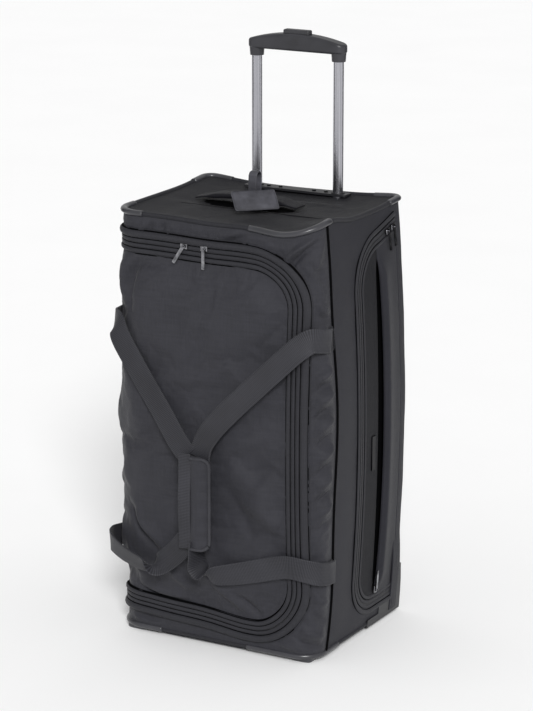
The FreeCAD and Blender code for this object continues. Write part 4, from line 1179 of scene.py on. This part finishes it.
def make_straps():
    """The four strap arms, each from its sewn patch to the wrap."""
    up = (0, 0, 1)
    arms = {
        "upper_strap_right": [((199, -102, 531), up), ((198, -112, 532), up), ((194, -127, 535), (0, 0, 1)),
                              ((184, -142, 536), (-0.3, 0, 1)), ((164, -150, 521), (-0.62, 0, 0.8)),
                              ((140, -154, 498), (-0.68, 0, 0.74)), ((96, -158, 455), (-0.7, 0, 0.72)),
                              ((56, -163, 415), (-0.7, 0, 0.72)), ((26, -166, 382), (-0.74, 0, 0.68)),
                              ((8, -167, 354), (-0.9, 0.1, 0.44)), ((2, -167, 330), (-1, 0.1, 0.1))],
        "upper_strap_left": [((-188, -84, 519), up), ((-186, -102, 519), up),
                             ((-180, -121, 521), (0.1, 0, 1)), ((-165, -140, 521), (0.5, 0.1, 0.86)),
                             ((-150, -151, 500), (0.74, 0.05, 0.7)),
                             ((-112, -156, 448), (0.78, 0, 0.62)), ((-70, -160, 392), (0.82, 0, 0.58)),
                             ((-40, -165, 352), (0.9, 0, 0.42)), ((-20, -166, 330), (1, 0, 0.1))],
        "lower_strap_right": [((200, -86, 152), up), ((199, -104, 153), up), ((193, -126, 158), up),
                              ((176, -140, 164), (0.0, 0, 1)), ((140, -145, 166), (-0.05, 0, 1)),
                              ((90, -150, 152), (-0.15, -0.05, 1)), ((46, -158, 141), (-0.3, -0.3, 0.95)),
                              ((16, -165, 137), (-0.75, -0.6, 0.5)), ((0, -168, 146), (-0.6, -0.8, 0.1)),
                              ((-5, -167, 164), (-0.25, -0.97, 0.1)), ((-6, -165, 192), (-0.15, -1, 0))],
        "lower_strap_left": [((-186, -84, 152), up), ((-189, -104, 154), up), ((-189, -126, 156), up),
                             ((-177, -146, 155), (0.1, -0.3, 1)), ((-146, -159, 145), (0.35, -0.5, 0.85)),
                             ((-104, -166, 136), (0.6, -0.55, 0.6)), ((-74, -169, 142), (0.85, -0.3, -0.2)),
                             ((-44, -168, 166), (0.85, -0.1, -0.5)), ((-24, -166, 190), (1, 0, -0.1))],
    }
    for name, stations in arms.items():
        piece = strap(name, stations, 110)
        node = name.rsplit("_", 1)[0]
        piece.data.materials.append(WEBBING)
        if name.endswith("right"):
            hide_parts(node)
        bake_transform(piece)


def make_patches():
    """The sewn ends of the straps on the gussets, with box stitching."""
    made = []
    seams = []
    for sign in (1, -1):
        for height in (STRAP_HIGH, STRAP_LOW):
            edge = float(seam_u(height, sign))
            share = np.linspace(0, 1, 12)
            z = height + WEB_HALF * (2 * share[:, None] - 1) * np.ones((1, 12))
            u = sign * (edge - 3 - 36 * share[None] * np.ones((12, 1)))
            made.append(mesh_piece("patch", wrap(u, z, 2.4), grid_faces(12, 12)))
            corners = ((-36, -16), (-6, -16), (-6, 16), (-36, 16),
                       (-36, -16), (-6, 16), (-6, -16), (-36, 16))
            box = np.array([(sign * (edge + a), height + b) for a, b in corners], float)
            fine = np.vstack([box[k] + (box[k + 1] - box[k]) * np.linspace(0, 1, 20)[:, None]
                              for k in range(len(corners) - 1)])
            line = np.hstack([fine, np.zeros_like(fine)])
            seams.append(stitches("seam", line, wrap, 0, 5.4))
    patch = merge("strap_patches", made)
    thicken(patch, 2.0, False)
    dress(patch, "root", PIPING, ["strap_anchors"])
    dress(merge("strap_patch_stitches", seams), "root", THREAD)


def superellipse(x, y, half_x, half_y, power=3.0, count=36):
    """A rounded-rectangle outline."""
    turns = np.arange(count) * 2 * math.pi / count
    cos, sin = np.cos(turns), np.sin(turns)
    return np.stack([x + half_x * np.sign(cos) * np.abs(cos) ** (2 / power),
                     y + half_y * np.sign(sin) * np.abs(sin) ** (2 / power)], -1)


def make_wrap():
    """The padded wrap that holds the straps together: a rolled pad, a webbing strip and a bound flap."""
    low_z, high_z = WRAP_LOW.z, WRAP_HIGH.z
    x0, x1 = WRAP_LOW.x, WRAP_HIGH.x
    y0, y1 = WRAP_LOW.y, WRAP_HIGH.y
    rows = 46
    points = []
    for share in np.linspace(0, 1, rows):
        end = min(share, 1 - share) * 2
        grow = 0.86 + 0.14 * min(1, end * 7) ** 0.5
        z = low_z + (high_z - low_z) * share
        pucker = 1 + 0.022 * math.sin(share * math.pi * 17)
        ring = superellipse((x0 + x1) / 2 - 1, (y0 + y1) / 2 + 1, (x1 - x0) / 2 * grow * pucker,
                            (y1 - y0) / 2 * 0.86 * grow, 2.7)
        points.append([(px, py, z) for px, py in ring])
    pad = mesh_piece("wrap_pad", points, capped_faces(rows, 36))
    pad = puffed(pad, 5.0, 2.0, 3.0)
    dress(pad, "carry_grip", SOFT_NYLON, ["carry_wrap"])
    z = np.linspace(low_z - 3, high_z + 5, 60)
    centres = np.stack([np.full(60, x0 + 10), np.full(60, y0 + 0.2) + 1.2 * np.sin(z / 23), z], -1)
    across = np.tile([1.0, 0.12, 0], (60, 1))
    outward = np.tile([0.12, -1.0, 0], (60, 1))
    strip = sweep("wrap_strip", centres, unit(across), unit(outward), rounded_bar(21, 2.0))
    dress(strip, "carry_grip", WEBBING)
    make_wrap_flap(x0 + 20, x1 + 1, y0, low_z - 2, high_z)


def make_wrap_flap(left, right, front, bottom, top):
    """The wrap's quilted flap with rounded corners and its bound edge."""
    radius = 13
    outline = [(left, bottom)]
    for turn in np.linspace(-QUARTER, 0, 9):
        outline.append((right - radius + radius * math.cos(turn), bottom + radius + radius * math.sin(turn)))
    for turn in np.linspace(0, QUARTER, 9):
        outline.append((right - radius + radius * math.cos(turn), top - radius + radius * math.sin(turn)))
    outline.append((left, top))
    edge = evenly(np.array(outline), 120)

    def turn_back(x):
        return 9 * smoothstep(x, left + 6, right + 6) ** 1.5
    centres = np.stack([edge[:, 0], front + turn_back(edge[:, 0]) - 0.6, edge[:, 1]], -1)
    binding = tube("wrap_binding", centres, 2.6)
    dress(binding, "carry_grip", THREAD)
    z = np.linspace(bottom + 0.5, top - 0.5, 60)
    columns = 14
    points = []
    for height in z:
        inset = 0.0
        for level in (bottom + radius, top - radius):
            beyond = (level - height) if level < (bottom + top) / 2 else (height - level)
            if beyond > 0:
                inset = radius - math.sqrt(max(radius ** 2 - beyond ** 2, 0))
        x = np.linspace(left, right - inset - 1, columns)
        share = (x - left) / (right - left)
        puff = 3.2 * np.sin(np.pi * np.clip(share * 1.05, 0, 1)) ** 0.8
        tucks = 1.3 * np.sin(height / 3.9) * share ** 2 * (1 - share) * 4
        points.append(np.stack([x, front + turn_back(x) + 1.6 - puff + tucks, np.full(columns, height)], -1))
    flap = grid_piece("wrap_flap", np.array(points))
    smoothed(flap)
    thicken(flap, 2.0)
    dress(flap, "carry_grip", SOFT_NYLON)


def puffed(piece, voxel, pressure, cap):
    """A closed pad remeshed and blown up a little as cloth, then smoothed."""
    name = piece.name
    remesh = piece.modifiers.new("remesh", "REMESH")
    remesh.mode = "VOXEL"
    remesh.voxel_size = voxel * MM
    graph = bpy.context.evaluated_depsgraph_get()
    mesh = bpy.data.meshes.new_from_object(piece.evaluated_get(graph))
    bpy.data.objects.remove(piece)
    pad = bpy.data.objects.new(name, mesh)
    bpy.context.scene.collection.objects.link(pad)
    rest = np.array([v.co for v in mesh.vertices])
    cloth = pad.modifiers.new("cloth", "CLOTH")
    cloth.settings.quality = 4
    cloth.settings.use_pressure = True
    cloth.settings.uniform_pressure_force = pressure
    cloth.settings.effector_weights.gravity = 0
    cloth.collision_settings.use_collision = False
    for step in range(1, 21):
        bpy.context.scene.frame_set(step)
    settled = pad.evaluated_get(bpy.context.evaluated_depsgraph_get())
    moved = np.array([v.co for v in settled.data.vertices])
    pad.modifiers.clear()
    bpy.context.scene.frame_set(1)
    shift = moved - rest
    size = np.linalg.norm(shift, axis=1, keepdims=True)
    placed = rest + shift * np.minimum(size, cap * MM) / np.maximum(size, 1e-9)
    mesh.vertices.foreach_set("co", placed.ravel())
    mesh.polygons.foreach_set("use_smooth", [True] * len(mesh.polygons))
    smoothed(pad)
    return pad


def make_grab_handle():
    """The padded grab handle on the top, sewn flat at both ends."""
    box_low, box_high = low("grab_handle"), high("grab_handle")
    x0, x1 = box_low.x + 8, box_high.x - 8
    y = (box_low.y + box_high.y) / 2
    rise = box_high.z - TOP
    count = 90
    x = np.linspace(x0, x1, count)
    share = (x - x0) / (x1 - x0)
    arch = np.sin(np.pi * share) ** 0.8
    z = TOP + 0.5 + (rise - 6) * arch + lift(x, y) * (1 - arch)
    centres = np.stack([x, np.full(count, y), z], -1)
    across = np.tile([0.0, 1.0, 0.0], (count, 1))
    ahead = unit(np.gradient(centres, axis=0))
    outward = np.cross(ahead, across)
    pad = 1 + 1.6 * smoothstep(np.minimum(share, 1 - share), 0.08, 0.2)
    bar = np.array(rounded_bar(box_high.y - box_low.y, 3.2, 3.5))
    points = (centres[:, None] + bar[None, :, :1] * across[:, None]
              + bar[None, :, 1:] * outward[:, None] * pad[:, None, None])
    handle = mesh_piece("grab_handle_pad", points, capped_faces(count, len(bar)))
    give_uv(handle, count, len(bar), lengths(centres), lengths(bar))
    smoothed(handle)
    # The pad takes the top's darker nylon copy: painted shade.
    dress(handle, "root", TOP_NYLON_SHADED, ["grab_handle"])


def make_tag():
    """The leather tag with a stitched border, and its loop."""
    hinge = joint_point("luggage_tag")
    turn = Matrix.Rotation(math.radians(44), 4, "Z") @ Matrix.Rotation(math.radians(36), 4, "X")
    place = Matrix.Translation(hinge) @ turn
    width, height, thick, radius = 72, 42, 2.6, 4
    outline = []
    corners = ((1, 0, 0), (-1, 0, 1), (-1, -1, 2), (1, -1, 3))
    for sx, sy, quarter in corners:
        cx, cy = sx * (width / 2 - radius), (-radius if sy == 0 else -height + radius)
        for t in np.linspace(0, QUARTER, 6):
            angle = quarter * QUARTER + t
            outline.append((cx + radius * math.cos(angle), cy + radius * math.sin(angle)))
    outline = np.array(outline)
    middle = np.array([0, -height / 2])
    layers = [(0.0, thick / 2 - 0.2), (0.9, thick / 2 - 0.2), (0.93, thick / 2 - 0.5), (0.97, thick / 2),
              (1.0, thick / 2 - 0.7), (1.0, -thick / 2 + 0.7), (0.97, -thick / 2), (0.0, -thick / 2)]
    points = [[place @ Vector((*(middle + (p - middle) * grow), z)) for p in outline] for grow, z in layers]
    flat = [tuple(p) for row in points for p in row]
    card = mesh_piece("tag_card", flat, grid_faces(len(layers), len(outline), True))
    dress(card, "luggage_tag", LEATHER, ["luggage_tag"])
    ring = middle + (np.vstack([outline, outline[:1]]) - middle) * 0.945
    fine = evenly(ring, 200)
    line = np.hstack([fine, np.zeros_like(fine)])

    def on_card(x, y, out):
        return np.array([tuple(place @ Vector((a, b, c))) for a, b, c in zip(x, y, out)])
    dress(stitches("tag_stitches", line, on_card, 0, thick / 2 - 0.1, 2.6, 1.8, 0.4), "luggage_tag",
          THREAD)
    loop_low, loop_high = low("tag_loop"), high("tag_loop")
    y0, y1 = loop_low.y + 1, loop_high.y - 1
    z0, z1 = loop_low.z, loop_high.z - 1
    radius = (y1 - y0) / 2
    path = [(y0 + 1, z0 + 1), (y0 - 1, z0 + 26), (y0, z1 - radius)]
    path += [(y0 + radius - radius * math.cos(t), z1 - radius + radius * math.sin(t))
             for t in np.linspace(0.4, math.pi - 0.4, 5)]
    path += [(y1, z1 - radius), (y1 - 1, z0 + 24), (y1 - 2, z0 + 1)]
    x = (loop_low.x + loop_high.x) / 2
    centres = spread([(x, y, z) for y, z in path], 70)
    across = np.tile([1.0, 0, 0], (70, 1))
    outward = np.cross(across, unit(np.gradient(centres, axis=0)))
    band_piece = sweep("tag_loop_band", centres, across, outward, rounded_bar(15, 2.0, 1.0))
    dress(band_piece, "root", LEATHER, ["tag_loop"])


# ---- hard parts ----

HARD_FINISHES = (
    (LINING, ("divider_panel",)),
    (WHEEL_PLASTIC, ("wheel_housing_left", "wheel_housing_right", "rim_left", "rim_right", "handle_bezel")),
    (RUBBER, ("tyre_left", "tyre_right")),
    (STEEL, ("wheel_axles", "bearings_left", "bearings_right", "lock_pin_left", "lock_pin_right")),
    (PLATE_METAL, ("case_screws", "nameplate")),
    (TUBE_METAL, ("outer_tubes", "inner_tube_left", "inner_tube_right")),
    (INNER_PLASTIC, ("tube_bushes", "tube_bracket", "tube_end_plugs", "push_yoke")),
    (GRIP, ("grip_lower", "grip_upper")),
    (BUTTON, ("push_button",)),
    (SLIDER_METAL, ("front_slider_left", "front_slider_right", "front_pull_left", "front_pull_right",
                    "door_slider_front", "door_slider_rear", "door_pull_front", "door_pull_rear",
                    "pocket_slider", "pocket_pull")),
)


def make_springs():
    """The two return springs, as coils carried with the handle."""
    bottom, top = low("return_springs").z, high("return_springs").z
    radius = (high("return_springs").y - low("return_springs").y) / 2 - 0.4
    turns = np.linspace(0, 2 * math.pi * 7, 180)
    coils = []
    for sign in (-1, 1):
        x = sign * TUBE_X + radius * np.cos(turns)
        y = TUBE_Y + radius * np.sin(turns)
        coils.append(tube("coil", np.stack([x, y, np.linspace(bottom + 0.4, top - 0.4, 180)], -1), 0.4))
    piece = merge("return_spring_coils", coils)
    dress(piece, "handle", STEEL, ["return_springs"])
    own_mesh(piece)


def dress_hard_nodes():
    """Gives every CAD node that stays its own finish."""
    for material, names in HARD_FINISHES:
        for name in names:
            node = frame["nodes"][name]
            node.data.materials.clear()
            node.data.materials.append(material)


# ---- floor, light and camera ----

def make_stage():
    """A plain pale floor that fills the view, and even pale light all round."""
    bpy.ops.mesh.primitive_plane_add(size=60, location=(0, 0, 0))
    floor = bpy.context.object
    floor.name = "floor"
    nodes = Nodes("floor_pale", Roughness=0.9)
    speckle = nodes.noise(nodes.add("ShaderNodeTexCoord").outputs["Object"], 3.0)
    nodes.link(nodes.ramp(speckle, 0.0, 1.0, colour(246, 246, 246), colour(250, 250, 250)),
               nodes.shader.inputs["Base Color"])
    floor.data.materials.append(nodes.material)
    world = bpy.data.worlds.new("pale_world")
    bpy.context.scene.world = world
    world.use_nodes = True
    back = world.node_tree.nodes["Background"]
    back.inputs["Color"].default_value = (1, 1, 1, 1)
    back.inputs["Strength"].default_value = 0.62


def make_dark_cards():
    """Two upright dark cards that only reflections see, which give the metal tubes their edges."""
    card_paint = moulded("card_paint", colour(60, 60, 60), colour(70, 70, 70), (0.8, 0.9))
    camera_right = Vector((math.cos(CAMERA_TURN), math.sin(CAMERA_TURN), 0))
    away = Vector((-math.sin(CAMERA_TURN), math.cos(CAMERA_TURN), 0))
    for name, right, behind, turn, width in (("dark_card_left", -0.95, 0.5, 50, 0.6),
                                             ("dark_card_right", 0.95, 0.5, -50, 0.6)):
        bpy.ops.mesh.primitive_plane_add(size=1)
        card = bpy.context.object
        card.name = name
        card.scale = (width, 1.5, 1)
        card.location = camera_right * right + away * behind + Vector((0, 0, 1.1))
        card.rotation_euler = (math.pi / 2, 0, CAMERA_TURN + math.radians(turn))
        card.data.materials.append(card_paint)
        card.visible_camera = False
        card.visible_diffuse = False
        card.visible_shadow = False


def sun_light():
    """One wide soft light from the front, a little to the right and above."""
    data = bpy.data.lights.new("key", "SUN")
    data.energy = 2.6
    data.angle = math.radians(16)
    lamp = bpy.data.objects.new("key", data)
    bpy.context.scene.collection.objects.link(lamp)
    turn, rise = math.radians(34), math.radians(31)
    towards = Vector((math.sin(turn) * math.cos(rise), -math.cos(turn) * math.cos(rise), math.sin(rise)))
    lamp.rotation_euler = towards.to_track_quat("Z", "Y").to_euler()


def make_camera():
    """The view from the front right, a little above."""
    azimuth, elevation, distance = CAMERA_TURN, math.radians(15.0), 4.42
    target = Vector((0, 0.057, 0.45))
    back = Vector((math.sin(azimuth) * math.cos(elevation), -math.cos(azimuth) * math.cos(elevation),
                   math.sin(elevation)))
    data = bpy.data.cameras.new("camera")
    data.lens = 137.6
    data.sensor_width = 36
    data.shift_x = -0.0025
    data.shift_y = -0.005
    camera = bpy.data.objects.new("camera", data)
    bpy.context.scene.collection.objects.link(camera)
    camera.location = target + back * distance
    camera.rotation_euler = (-back).to_track_quat("-Z", "Y").to_euler()
    bpy.context.scene.camera = camera


bpy.context.scene.view_settings.view_transform = "Standard"
make_soft_front()
make_front_zip()
make_top()
make_edges()
make_base()
make_back()
make_right_side()
make_left_side()
make_side_seams()
make_door()
make_straps()
make_patches()
make_wrap()
make_grab_handle()
make_tag()
make_springs()
dress_hard_nodes()
make_stage()
sun_light()
make_dark_cards()
make_camera()
